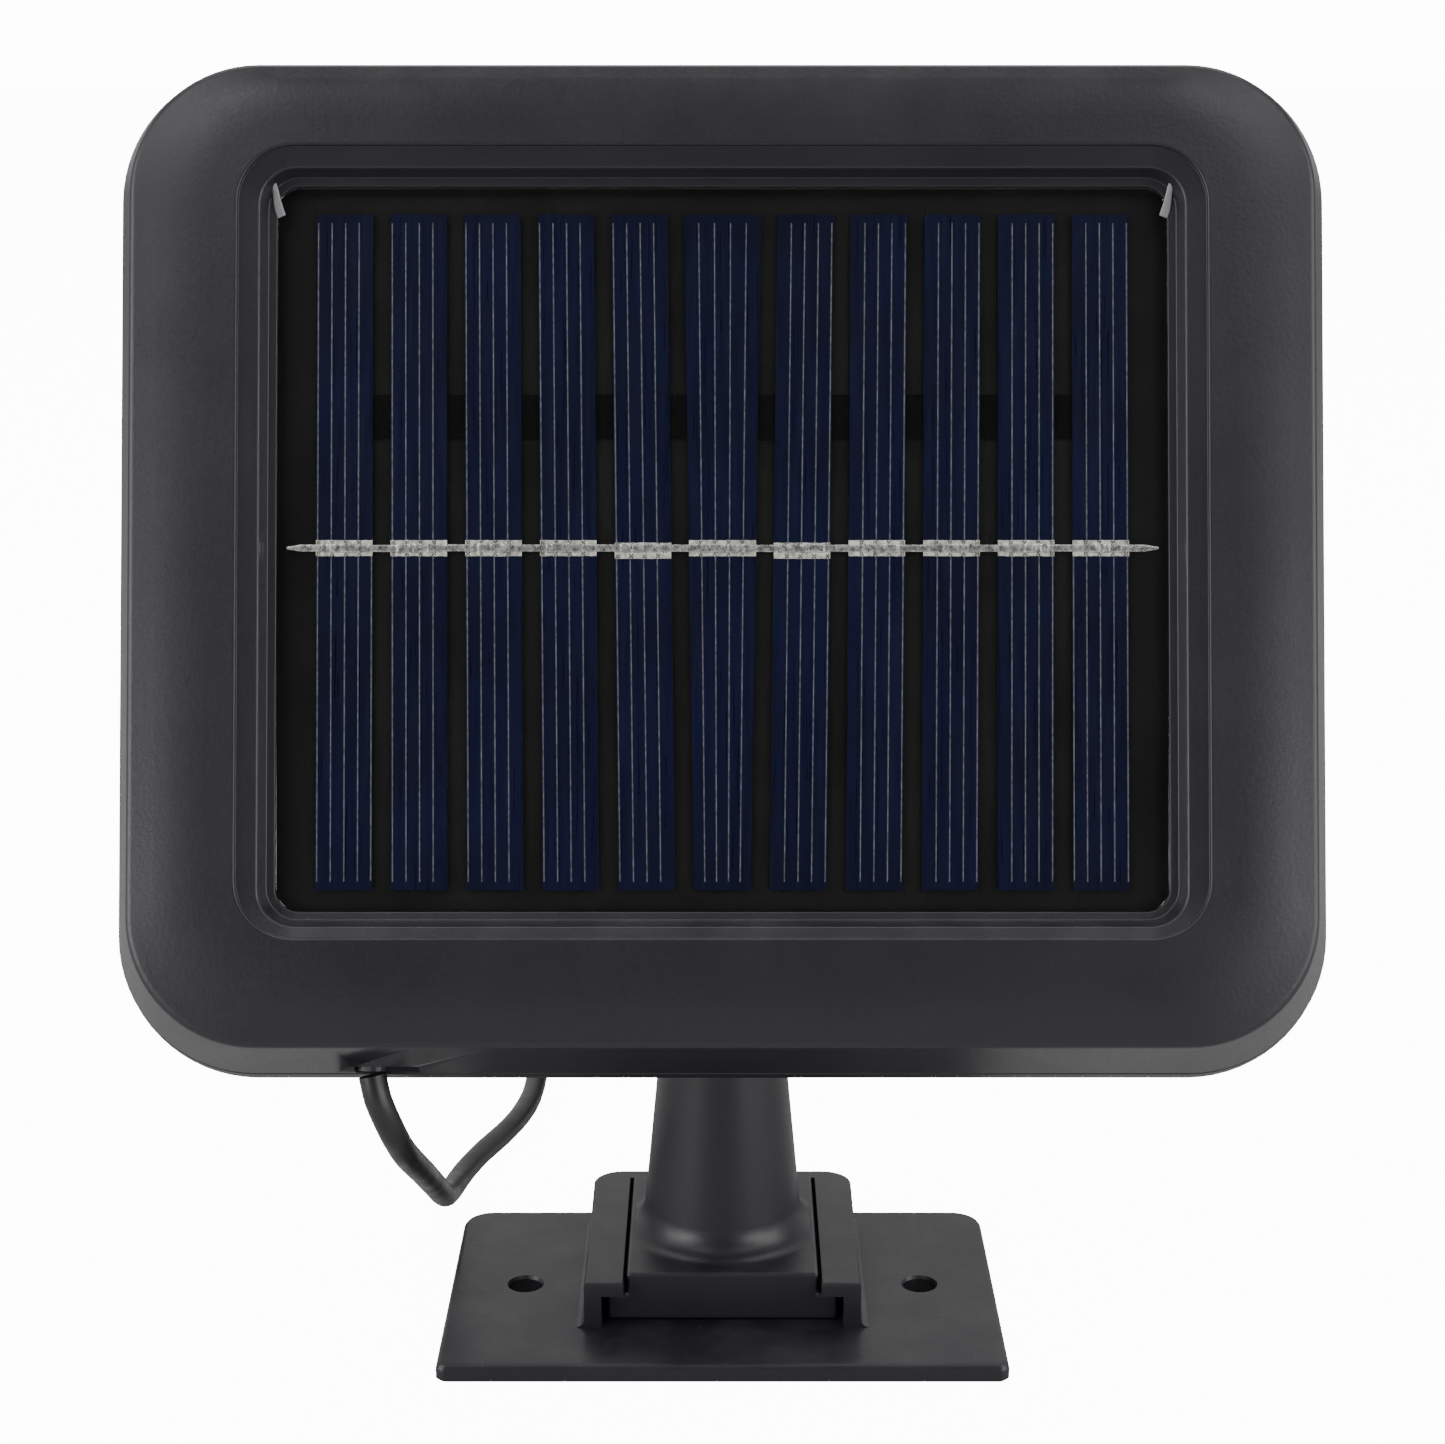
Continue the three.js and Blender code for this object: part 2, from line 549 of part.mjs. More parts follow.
function boltWasher(side) {
  const washer = alongX(ring(BOLT.headR + 0.6, BOLT_HOLE_R, WASHER_THICK));
  const x = side > 0 ? EAR_OUTER + FIT : -EAR_OUTER - FIT - WASHER_THICK;
  return washer.translate(ON_PIVOT).translate([x, 0, 0]);
}

const BOLT_SEAT = EAR_OUTER + 2 * FIT + WASHER_THICK;

function pivotBolt() {
  const length = 2 * BOLT_SEAT + BOLT.nutHeight + BOLT.tail;
  const bolt = join(
    rod(BOLT.r, length + BOLT.headHeight / 2).translate([0, 0, BOLT_SEAT - length]),
    rod(BOLT.headR, BOLT.headHeight, 6).translate([0, 0, BOLT_SEAT]),
  );
  return alongX(bolt).translate(ON_PIVOT);
}

function pivotNut() {
  const hole = rod(BOLT_HOLE_R, BOLT.nutHeight + 2).translate([0, 0, -1]);
  const nut = cut(rod(BOLT.nutR, BOLT.nutHeight, 6), hole);
  return alongX(nut.translate([0, 0, -BOLT_SEAT - BOLT.nutHeight])).translate(ON_PIVOT);
}

// ---------------------------------------------------------------- cord outside the head
const cordLead = () => tube(LEAD_ROUTE, CORD.d, CORD.sides, CORD.steps);
const cordTail = () => tube(TAIL_ROUTE, CORD.d, CORD.sides, CORD.tailSteps);

function cordCoil() {
  const [inner, outer] = [-1, 1].map((side) => COIL.meanR + (side * COIL.wide * CORD.d) / 2);
  const top = COIL.high * CORD.d;
  const c = COIL.chamfer;
  const profile = [
    [inner + c, 0], [outer - c, 0], [outer, c], [outer, top - c],
    [outer - c, top], [inner + c, top], [inner, top - c], [inner, c],
  ];
  return turned(profile, 40).translate([COIL.x, COIL.y, COIL.lift]);
}

// A flat strap closed round the coil's bundle of turns.
function cordTie() {
  const reach = (COIL.wide * CORD.d) / 2 + GAP;
  const rise = COIL.high * CORD.d + GAP;
  const [t, half] = [TIE.thick, TIE.width / 2];
  const strap = cut(
    box([COIL.meanR - reach - t, -half, -GAP - t], [COIL.meanR + reach + t, half, rise + t]),
    box([COIL.meanR - reach, -half - 1, -GAP], [COIL.meanR + reach, half + 1, rise]),
  );
  return strap.rotate([0, 0, TIE.turnDeg]).translate([COIL.x, COIL.y, COIL.lift]);
}

const alongY = (body) => body.rotate([-90, 0, 0]);

function plugBody() {
  const { tailR, gripR, r, gripLength, length } = PLUG;
  const profile = [
    [0, 0], [tailR, 0], [gripR, gripLength], [r, gripLength + 1.2], [r, length - 0.6],
    [r - 0.6, length], [0, length],
  ];
  return alongY(turned(profile, 24)).translate([PLUG.x, PLUG.y, PLUG.z]);
}

function plugNut() {
  const nut = ring(PLUG.r, PLUG_NUT.innerR, PLUG_NUT.length, 24);
  return alongY(nut).translate([PLUG.x, PLUG.y + PLUG.length + GAP, PLUG.z]);
}

function plugBarrel() {
  const { r, boreR, boreDepth, length } = PLUG_BARREL;
  const barrel = cut(rod(r, length, 24), rod(boreR, boreDepth + 1).translate([0, 0, length - boreDepth]));
  return alongY(barrel).translate([PLUG.x, PLUG.y + PLUG.length + GAP, PLUG.z]);
}

// ---------------------------------------------------------------- assembly
function piece(name, body, { color, roughness, metalness }) {
  const material = new THREE.MeshStandardMaterial({ color, roughness, metalness, flatShading: true });
  const mesh = new THREE.Mesh(geometryOf(body), material);
  mesh.name = name;
  return mesh;
}

const solarPanel = new THREE.Group();
solarPanel.add(
  piece("wall_plate", wallPlate(), FINISH.casing),
  piece("neck_post", neckPost(), FINISH.casing),
  piece("swivel_screw", swivelScrew(), FINISH.steel),
  piece("swivel_washer", swivelWasher(), FINISH.zinc),
  piece("knuckle", knuckle(), FINISH.casing),
  piece("cord_lead", cordLead(), FINISH.jacket),
  piece("cord_coil", cordCoil(), FINISH.jacket),
  piece("cord_tail", cordTail(), FINISH.jacket),
  piece("cord_tie", cordTie(), FINISH.rubber),
  piece("plug_body", plugBody(), FINISH.rubber),
  piece("plug_nut", plugNut(), FINISH.rubber),
  piece("plug_barrel", plugBarrel(), FINISH.brass),
);

const head = new THREE.Group();
head.position.set(0, HEAD.y, HEAD.z);
head.rotation.x = Math.PI / 2 - LEAN;
head.add(
  piece("front_frame", frontFrame(), FINISH.casing),
  piece("back_cover", backCover(), FINISH.casing),
  piece("cover_gasket", coverGasket(), FINISH.rubber),
  piece("panel_board", panelBoard(), FINISH.board),
  piece("panel_resin", panelResin(), FINISH.resin),
  piece("panel_sealant", panelSealant(), FINISH.silicone),
  piece("backing_tape", backingTape(), FINISH.tape),
  piece("tab_ribbon", tabRibbon(), FINISH.solder),
  piece("blocking_diode", blockingDiode(), FINISH.rubber),
  piece("lead_inner", leadInner(), FINISH.jacket),
  piece("cord_grommet", cordGrommet(), FINISH.rubber),
  piece("cable_clamp", cableClamp(), FINISH.casing),
  piece("pivot_bolt", pivotBolt(), FINISH.steel),
  piece("pivot_nut", pivotNut(), FINISH.zinc),
  piece("pivot_washer_right", boltWasher(1), FINISH.zinc),
  piece("pivot_washer_left", boltWasher(-1), FINISH.zinc),
);
for (let i = 0; i < CELLS.count; i++)
  head.add(piece(`solar_cell_${String(i + 1).padStart(2, "0")}`, solarCell(i), FINISH.silicon));
for (let i = 0; i < cornerPlaces().length; i++)
  head.add(piece(`cover_screw_${i + 1}`, coverScrew(i), FINISH.steel));
for (let i = 0; i < clampScrewPlaces().length; i++)
  head.add(piece(`clamp_screw_${i + 1}`, clampScrew(i), FINISH.steel));
["positive", "negative"].forEach((pole, i) => {
  head.add(piece(`terminal_${pole}`, terminal(i), FINISH.solder));
  head.add(piece(`wire_${pole}`, wire(i), i ? FINISH.wireBlack : FINISH.wireRed));
});
solarPanel.add(head);

export default solarPanel;
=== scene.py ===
"""Solar charging panel of a split flood light: moulded head on a swivel-and-tilt wall bracket."""
import math

import bmesh
import bpy
from mathutils import Matrix, Vector, noise


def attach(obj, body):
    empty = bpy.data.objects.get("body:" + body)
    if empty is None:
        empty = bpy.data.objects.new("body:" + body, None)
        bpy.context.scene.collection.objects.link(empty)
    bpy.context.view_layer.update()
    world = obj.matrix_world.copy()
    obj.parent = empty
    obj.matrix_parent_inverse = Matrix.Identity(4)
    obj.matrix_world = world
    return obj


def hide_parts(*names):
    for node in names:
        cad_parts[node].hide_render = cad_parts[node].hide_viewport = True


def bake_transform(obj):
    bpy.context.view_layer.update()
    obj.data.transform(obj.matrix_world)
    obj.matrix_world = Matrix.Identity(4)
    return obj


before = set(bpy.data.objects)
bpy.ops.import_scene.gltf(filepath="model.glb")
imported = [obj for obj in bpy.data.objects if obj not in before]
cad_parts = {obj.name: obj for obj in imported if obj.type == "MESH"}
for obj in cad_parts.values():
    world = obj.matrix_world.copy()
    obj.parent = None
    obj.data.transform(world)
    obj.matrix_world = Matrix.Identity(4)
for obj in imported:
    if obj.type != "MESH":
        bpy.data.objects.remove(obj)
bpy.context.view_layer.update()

MM = 0.001

# ---------------------------------------------------------------- sizes, in millimetres
# Head frame: x right, y up the panel, z out of its face, 0 on the front of the cells.
LEAN = math.radians(17)
HEAD = Matrix.Translation((0, -20.5, 105.7)) @ Matrix.Rotation(math.radians(90) - LEAN, 4, "X")
STANDING = Matrix()
PARTING_Z = -9.4
COVER_FRONT = -9.7
REAR_EDGE_Z = -12.2
BACK_Z = -18.4
SHELL = 2.2
RIM = 4.0
FACE = (67.85, -56.55, 55.75, 14.75)
PARTING = (71.4, -60.8, 58.9, 16.2)
REAR = (71.8, -61.7, 59.4, 16.6)
RIDGE = (55.4, -44.2, 46.3, 6.6)
LEDGE = (52.9, -42.9, 43.8, 4.2)
STEP = (52.2, -42.2, 43.1, 3.7)
WINDOW = (51.2, -41.3, 42.1, 2.7)
BOARD = (53.0, -43.0, 43.8, 2.2)
BOARD_FRONT = -0.55
RESIN_FRONT = 0.7
CELL_COUNT = 11
CELL_MIDDLE = 0.13
CELL_LENGTH = 78.0
RIBBON_MIDDLE = 0.5
CORNER_SCREW = (59.2, 47.2, -48.2)
SCREW_SEAT = -14.3
PLATE_TOP = 2.4
POST_Y = 4.6
POST_TOP = 48.0
PIVOT_Z = 64.0
EAR_OUTER = 8.3
CORD_D = 3.3
SLOT_X = -39.4
SLOT_WIDTH = 7.6
SLOT_DEPTH = 3.6

# the cord's route: out of the skirt, down to the floor, back along it to the coil
FLOOR_Z = CORD_D / 2 + 0.05
LEAD_ROUTE = [
    (-41.1, -31.0, 45.3), (-40.5, -31.6, 42.6), (-39.6, -31.3, 39.8), (-38.8, -29.6, 36.6),
    (-38.3, -26.0, 33.2), (-38.0, -20.5, 29.4), (-37.9, -12.5, 24.5), (-38.0, -3.0, 18.8),
    (-38.2, 6.5, 13.2), (-38.5, 15.0, 8.3), (-38.7, 22.5, 4.6), (-38.6, 29.5, 2.4),
    (-37.6, 36.5, FLOOR_Z), (-35.6, 43.0, FLOOR_Z), (-33.0, 49.6, FLOOR_Z),
    (-30.9, 56.4, FLOOR_Z), (-29.7, 63.5, FLOOR_Z), (-29.4, 71.0, FLOOR_Z),
    (-29.4, 79.0, FLOOR_Z), (-29.4, 87.6, FLOOR_Z), (-29.45, 96.0, 2.2),
]
TAIL_ROUTE = [
    (25.6, 90.0, 9.6), (27.0, 84.2, 7.2), (30.6, 79.4, 4.6), (35.8, 77.6, 2.6),
    (41.2, 79.4, 2.2), (44.4, 84.2, 3.7), (45.0, 90.0, 4.9), (45.0, 94.0, 4.9),
]
COIL_X, COIL_Y, COIL_MEAN_R = -2.25, 104.3, 18.9
COIL_TURNS, COIL_WIDE, COIL_HIGH, COIL_LIFT = 22.5, 6, 4, 0.9
TIE_TURN = 35
PLUG_X, PLUG_Y, PLUG_Z, PLUG_LENGTH = 45.0, 90.7, 4.9, 24.0


# ---------------------------------------------------------------- camera
def set_camera():
    camera = bpy.data.objects.new("camera", bpy.data.cameras.new("camera"))
    camera.data.sensor_width = 36
    camera.data.lens = 67.27
    camera.data.clip_start = 0.01
    camera.location = (0, -0.3254, 0.170)
    camera.rotation_euler = (math.radians(74.5), 0, 0)
    bpy.context.collection.objects.link(camera)
    bpy.context.scene.camera = camera


# ---------------------------------------------------------------- shader trees
def put(tree, value, socket):
    if isinstance(value, bpy.types.NodeSocket):
        tree.links.new(value, socket)
    else:
        socket.default_value = value


def add(tree, kind, settings=None, **inputs):
    """A node with its settings, and its inputs by name: a value, or a socket to link."""
    made = tree.nodes.new(kind)
    for key, value in (settings or {}).items():
        setattr(made, key, value)
    for key, value in inputs.items():
        put(tree, value, made.inputs[key.replace("_", " ")])
    return made


def calc(tree, operation, *terms):
    made = tree.nodes.new("ShaderNodeMath")
    made.operation = operation
    for value, socket in zip(terms, made.inputs):
        put(tree, value, socket)
    return made.outputs[0]


def between(tree, value, low, high, to_low=0.0, to_high=1.0):
    """value from low..high to to_low..to_high, clamped."""
    made = add(tree, "ShaderNodeMapRange", Value=value, From_Min=low, From_Max=high,
               To_Min=to_low, To_Max=to_high)
    return made.outputs["Result"]


def blended(tree, factor, first, second):
    made = tree.nodes.new("ShaderNodeMix")
    made.data_type = "RGBA"
    for value, index in ((factor, 0), (first, 6), (second, 7)):
        put(tree, value, made.inputs[index])
    return made.outputs[2]


def grey(level, tint=0.0):
    """A linear grey, a little blue for a positive tint."""
    return (level, level * (1 - tint / 4), level * (1 + tint), 1)


def shader_group(name, inputs, outputs, build):
    """A node group with named float inputs and outputs."""
    tree = bpy.data.node_groups.new(name, "ShaderNodeTree")
    for label, value in inputs.items():
        tree.interface.new_socket(label, in_out="INPUT", socket_type="NodeSocketFloat").default_value = value
    for label in outputs:
        tree.interface.new_socket(label, in_out="OUTPUT", socket_type="NodeSocketFloat")
    entry = tree.nodes.new("NodeGroupInput")
    results = build(tree, entry.outputs)
    leave = tree.nodes.new("NodeGroupOutput")
    for label, socket in results.items():
        tree.links.new(socket, leave.inputs[label])
    return tree


def moulded_skin(tree, given):
    """Spark-eroded mould grain: fine pits over a soft waviness of the wall."""
    place = add(tree, "ShaderNodeTexCoord").outputs["Object"]
    fine = add(tree, "ShaderNodeTexNoise", Vector=place, Scale=given["Pits per metre"], Detail=4.0,
               Roughness=0.62).outputs["Fac"]
    pits = add(tree, "ShaderNodeTexVoronoi", Vector=place, Randomness=1.0,
               Scale=calc(tree, "MULTIPLY", given["Pits per metre"], 0.6)).outputs["Distance"]
    wave = add(tree, "ShaderNodeTexNoise", Vector=place, Scale=55.0, Detail=1.5).outputs["Fac"]
    mixed = calc(tree, "ADD", calc(tree, "MULTIPLY", fine, 0.7), calc(tree, "MULTIPLY", pits, 0.3))
    height = calc(tree, "ADD", calc(tree, "MULTIPLY", mixed, given["Depth"]),
                  calc(tree, "MULTIPLY", wave, given["Waviness"]))
    return {"Height": height, "Tone": fine, "Patch": wave}


def handling_marks(tree, given):
    """Faint rubbed streaks and finger smears that only change the gloss."""
    place = add(tree, "ShaderNodeTexCoord").outputs["Object"]
    turned = add(tree, "ShaderNodeMapping", Vector=place, Rotation=(0.4, 0.9, 0.7),
                 Scale=(900.0, 60.0, 60.0)).outputs[0]
    streak = add(tree, "ShaderNodeTexNoise", Vector=turned, Scale=1.0, Detail=3.0).outputs["Fac"]
    smear = add(tree, "ShaderNodeTexNoise", Vector=place, Scale=38.0, Detail=5.0, Distortion=0.8)
    fine = between(tree, streak, 0.6, 0.78)
    soft = between(tree, smear.outputs["Fac"], 0.45, 0.75)
    total = calc(tree, "ADD", calc(tree, "MULTIPLY", fine, 0.4), calc(tree, "MULTIPLY", soft, 0.6))
    return {"Marks": calc(tree, "MULTIPLY", total, given["Amount"])}


def settled_dust(tree, given):
    """Specks and a thin film on faces that look up."""
    coords = add(tree, "ShaderNodeTexCoord")
    up = add(tree, "ShaderNodeSeparateXYZ", Vector=coords.outputs["Normal"]).outputs["Z"]
    cloud = add(tree, "ShaderNodeTexNoise", Vector=coords.outputs["Object"], Scale=140.0,
                Detail=6.0).outputs["Fac"]
    speck = add(tree, "ShaderNodeTexVoronoi", Vector=coords.outputs["Object"],
                Scale=420.0).outputs["Distance"]
    film = calc(tree, "MULTIPLY", between(tree, cloud, 0.42, 0.7), 0.5)
    dots = between(tree, speck, 0.1, 0.04)
    laid = calc(tree, "MULTIPLY", calc(tree, "MAXIMUM", film, dots), between(tree, up, 0.2, 0.9))
    return {"Dust": calc(tree, "MULTIPLY", laid, given["Amount"])}


def drawn_lines(tree, given):
    """Fine parallel tool lines across a turned or pressed metal part."""
    place = add(tree, "ShaderNodeTexCoord").outputs["Object"]
    long = add(tree, "ShaderNodeMapping", Vector=place, Scale=(6000.0, 350.0, 350.0)).outputs[0]
    lines = add(tree, "ShaderNodeTexNoise", Vector=long, Scale=1.0, Detail=2.0).outputs["Fac"]
    blotch = add(tree, "ShaderNodeTexNoise", Vector=place, Scale=600.0, Detail=4.0).outputs["Fac"]
    return {"Height": calc(tree, "MULTIPLY", lines, given["Depth"]), "Blotch": blotch}


SKIN = shader_group("moulded skin", {"Pits per metre": 2600.0, "Depth": 1.0, "Waviness": 0.12},
                    ("Height", "Tone", "Patch"), moulded_skin)
MARKS = shader_group("handling marks", {"Amount": 1.0}, ("Marks",), handling_marks)
DUST = shader_group("settled dust", {"Amount": 0.2}, ("Dust",), settled_dust)
LINES = shader_group("drawn lines", {"Depth": 1.0}, ("Height", "Blotch"), drawn_lines)


def place_group(tree, group, **inputs):
    made = tree.nodes.new("ShaderNodeGroup")
    made.node_tree = group
    for key, value in inputs.items():
        put(tree, value, made.inputs[key.replace("_", " ")])
    return made.outputs


def new_finish(name, **fixed):
    """A material, its tree and its Principled shader, with the uniform values set."""
    material = bpy.data.materials.new(name)
    material.use_nodes = True
    tree = material.node_tree
    shader = tree.nodes["Principled BSDF"]
    for key, value in fixed.items():
        shader.inputs[key.replace("_", " ")].default_value = value
    return material, tree, shader


def bump(tree, shader, height, distance, strength=1.0):
    made = add(tree, "ShaderNodeBump", Strength=strength, Distance=distance, Height=height)
    tree.links.new(made.outputs["Normal"], shader.inputs["Normal"])


def moulded(name, level, gloss, grain=2600.0, depth=2.2e-5, dust=0.1, tint=0.2, **fixed):
    """Injection-moulded plastic or rubber, coloured through."""
    material, tree, shader = new_finish(name, **fixed)
    skin = place_group(tree, SKIN, Pits_per_metre=grain)
    marks = place_group(tree, MARKS)["Marks"]
    film = place_group(tree, DUST, Amount=dust)["Dust"]
    base = blended(tree, skin["Patch"], grey(level * 0.85, tint), grey(level * 1.18, tint))
    put(tree, blended(tree, film, base, grey(0.3, -0.03)), shader.inputs["Base Color"])
    rough = calc(tree, "ADD", between(tree, skin["Tone"], 0.3, 0.7, gloss - 0.03, gloss + 0.05),
                 calc(tree, "MULTIPLY", marks, -0.07))
    put(tree, calc(tree, "ADD", rough, calc(tree, "MULTIPLY", film, 0.3)), shader.inputs["Roughness"])
    bump(tree, shader, skin["Height"], depth)
    return material


def metal(name, color, gloss, depth=6e-6, dull=0.25):
    material, tree, shader = new_finish(name, Metallic=1.0)
    lines = place_group(tree, LINES)
    darker = tuple(channel * (1 - dull) for channel in color[:3]) + (1,)
    put(tree, blended(tree, between(tree, lines["Blotch"], 0.35, 0.65), color, darker),
        shader.inputs["Base Color"])
    put(tree, between(tree, lines["Blotch"], 0.3, 0.7, gloss - 0.05, gloss + 0.1),
        shader.inputs["Roughness"])
    bump(tree, shader, lines["Height"], depth)
    return material


def silicon_finish():
    """Blue-black cells: saw lines along the strip and slow patches of anti-glare colour."""
    material, tree, shader = new_finish("silicon", Metallic=0.0, Specular_IOR_Level=0.18)
    place = add(tree, "ShaderNodeTexCoord").outputs["Object"]
    saw = add(tree, "ShaderNodeMapping", Vector=place, Scale=(2600.0, 90.0, 90.0)).outputs[0]
    lines = add(tree, "ShaderNodeTexNoise", Vector=saw, Scale=1.0, Detail=3.0).outputs["Fac"]
    patch = add(tree, "ShaderNodeTexNoise", Vector=place, Scale=70.0, Detail=2.0).outputs["Fac"]
    crystal = add(tree, "ShaderNodeTexVoronoi", Vector=place, Scale=900.0).outputs["Color"]
    shade = add(tree, "ShaderNodeSeparateColor", Color=crystal).outputs[0]
    mix = calc(tree, "ADD", calc(tree, "MULTIPLY", patch, 0.75), calc(tree, "MULTIPLY", lines, 0.25))
    color = blended(tree, between(tree, mix, 0.35, 0.65), (0.0012, 0.0021, 0.0125, 1),
                    (0.0021, 0.0037, 0.023, 1))
    color = blended(tree, calc(tree, "MULTIPLY", shade, 0.25), color, (0.0015, 0.0027, 0.018, 1))
    put(tree, color, shader.inputs["Base Color"])
    put(tree, between(tree, lines, 0.3, 0.7, 0.26, 0.4), shader.inputs["Roughness"])
    bump(tree, shader, lines, 5e-6)
    return material


def backsheet_finish():
    """Black laminate: pebbled film with a faint woven scrim under it."""
    material, tree, shader = new_finish("backsheet", Specular_IOR_Level=0.15)
    place = add(tree, "ShaderNodeTexCoord").outputs["Object"]
    pebble = add(tree, "ShaderNodeTexVoronoi", Vector=place, Scale=1900.0).outputs["Distance"]
    cloud = add(tree, "ShaderNodeTexNoise", Vector=place, Scale=90.0, Detail=5.0).outputs["Fac"]
    color = blended(tree, between(tree, cloud, 0.3, 0.7), (0.0024, 0.0024, 0.0022, 1),
                    (0.0048, 0.0048, 0.0044, 1))
    put(tree, color, shader.inputs["Base Color"])
    put(tree, between(tree, cloud, 0.3, 0.7, 0.42, 0.55), shader.inputs["Roughness"])
    bump(tree, shader, pebble, 1.2e-5)
    return material


def tape_finish():
    """Black insulating tape: fine cloth weave."""
    material, tree, shader = new_finish("tape", Specular_IOR_Level=0.05)
    place = add(tree, "ShaderNodeTexCoord").outputs["Object"]
    parts = add(tree, "ShaderNodeSeparateXYZ", Vector=place).outputs
    warp = calc(tree, "SINE", calc(tree, "MULTIPLY", parts["X"], 15000.0))
    weft = calc(tree, "SINE", calc(tree, "MULTIPLY", parts["Z"], 15000.0))
    weave = calc(tree, "MULTIPLY", warp, weft)
    cloud = add(tree, "ShaderNodeTexNoise", Vector=place, Scale=200.0, Detail=4.0).outputs["Fac"]
    put(tree, blended(tree, cloud, (0.0005, 0.0005, 0.0006, 1), (0.0013, 0.0013, 0.0014, 1)),
        shader.inputs["Base Color"])
    put(tree, between(tree, cloud, 0.3, 0.7, 0.45, 0.6), shader.inputs["Roughness"])
    bump(tree, shader, weave, 1.5e-5)
    return material


def tinned_finish(name, color, gloss, lumps):
    """Tinned copper and solder: grainy, with flux-dulled patches."""
    material, tree, shader = new_finish(name)
    place = add(tree, "ShaderNodeTexCoord").outputs["Object"]
    grain = add(tree, "ShaderNodeTexNoise", Vector=place, Scale=5200.0, Detail=3.0).outputs["Fac"]
    patch = add(tree, "ShaderNodeTexNoise", Vector=place, Scale=1500.0, Detail=3.0).outputs["Fac"]
    darker = tuple(channel * 0.55 for channel in color[:3]) + (1,)
    put(tree, blended(tree, between(tree, patch, 0.38, 0.62), darker, color),
        shader.inputs["Base Color"])
    put(tree, between(tree, patch, 0.35, 0.65, 0.95, 0.75), shader.inputs["Metallic"])
    put(tree, between(tree, grain, 0.3, 0.7, gloss - 0.06, gloss + 0.14), shader.inputs["Roughness"])
    bump(tree, shader, grain, lumps)
    return material


def resin_finish():
    """Clear potting resin: nothing but its reflection, a little rippled."""
    material, tree, shader = new_finish("clear resin", Base_Color=(1, 1, 1, 1), Metallic=1.0,
                                        Roughness=0.07)
    place = add(tree, "ShaderNodeTexCoord").outputs["Object"]
    ripple = add(tree, "ShaderNodeTexNoise", Vector=place, Scale=45.0, Detail=2.0).outputs["Fac"]
    haze = add(tree, "ShaderNodeTexNoise", Vector=place, Scale=420.0, Detail=4.0).outputs["Fac"]
    put(tree, between(tree, haze, 0.4, 0.75, 0.05, 0.13), shader.inputs["Roughness"])
    outer = calc(tree, "SUBTRACT", 1.0, tree.nodes.new("ShaderNodeNewGeometry").outputs["Backfacing"])
    sheen = add(tree, "ShaderNodeFresnel", IOR=1.42).outputs[0]
    put(tree, calc(tree, "MULTIPLY", sheen, outer), shader.inputs["Alpha"])
    bump(tree, shader, ripple, 4e-5)
    return material


def jacket_finish(name="cord jacket"):
    """Soft extruded jacket: long flow lines, a faint print-free sheen, light rubbing."""
    material, tree, shader = new_finish(name, Specular_IOR_Level=0.5, Coat_Roughness=0.3)
    along = add(tree, "ShaderNodeUVMap", {"uv_map": "UVMap"}).outputs[0]
    flow = add(tree, "ShaderNodeMapping", Vector=along, Scale=(26.0, 40.0, 1.0)).outputs[0]
    lines = add(tree, "ShaderNodeTexNoise", Vector=flow, Scale=1.0, Detail=3.0).outputs["Fac"]
    place = add(tree, "ShaderNodeTexCoord").outputs["Object"]
    rub = add(tree, "ShaderNodeTexNoise", Vector=place, Scale=260.0, Detail=5.0).outputs["Fac"]
    film = place_group(tree, DUST, Amount=0.06)["Dust"]
    base = blended(tree, rub, grey(0.006, 0.1), grey(0.012, 0.06))
    put(tree, blended(tree, film, base, grey(0.25)), shader.inputs["Base Color"])
    put(tree, between(tree, rub, 0.35, 0.7, 0.34, 0.5), shader.inputs["Roughness"])
    put(tree, between(tree, rub, 0.3, 0.6, 0.16, 0.04), shader.inputs["Coat Weight"])
    bump(tree, shader, lines, 1.6e-5)
    return material


def floor_finish():
    material, tree, shader = new_finish("studio floor", Roughness=0.9, Specular_IOR_Level=0.1)
    place = add(tree, "ShaderNodeTexCoord").outputs["Object"]
    cloud = add(tree, "ShaderNodeTexNoise", Vector=place, Scale=3.0, Detail=2.0).outputs["Fac"]
    put(tree, blended(tree, cloud, grey(0.48), grey(0.52)), shader.inputs["Base Color"])
    shader.inputs["Emission Color"].default_value = (1, 1, 1, 1)
    seen = tree.nodes.new("ShaderNodeLightPath").outputs["Is Camera Ray"]
    put(tree, between(tree, seen, 0.0, 1.0, 0.0, 13.0), shader.inputs["Emission Strength"])
    return material


CASING = moulded("casing", 0.0098, 0.38, tint=0.32)
BRACKET = moulded("bracket", 0.0108, 0.39, grain=2300.0, tint=0.3)
RUBBER = moulded("rubber", 0.012, 0.6, grain=3600.0, depth=1.4e-5)
SEALANT = moulded("sealant", 0.62, 0.5, grain=900.0, depth=5e-5, tint=-0.04)
# painted highlight: a light grey finish for the strips that stand in for the glint on the window lip's upper
# corners
PAINTED_CORNER_HIGHLIGHT = moulded("painted corner highlight", 0.2, 0.4, grain=1500.0, depth=2e-5, tint=0.04)
WIRE_RED = moulded("wire red", 0.05, 0.4, grain=4000.0, depth=6e-6)
WIRE_BLACK = moulded("wire black", 0.01, 0.4, grain=4000.0, depth=6e-6)
STEEL = metal("screw steel", (0.58, 0.58, 0.59, 1), 0.28)
ZINC = metal("zinc", (0.66, 0.67, 0.64, 1), 0.34, dull=0.35)
CONTACT = metal("contact brass", (0.72, 0.55, 0.27, 1), 0.27)
SILICON = silicon_finish()
BACKSHEET = backsheet_finish()
TAPE = tape_finish()
SILVER_PRINT = tinned_finish("silver print", (0.74, 0.74, 0.65, 1), 0.5, 1.2e-5)
LINE_PRINT = tinned_finish("line print", (0.16, 0.17, 0.2, 1), 0.5, 1.0e-5)
SOLDER = tinned_finish("solder", (0.62, 0.62, 0.6, 1), 0.26, 2e-5)
RESIN = resin_finish()
JACKET = jacket_finish()


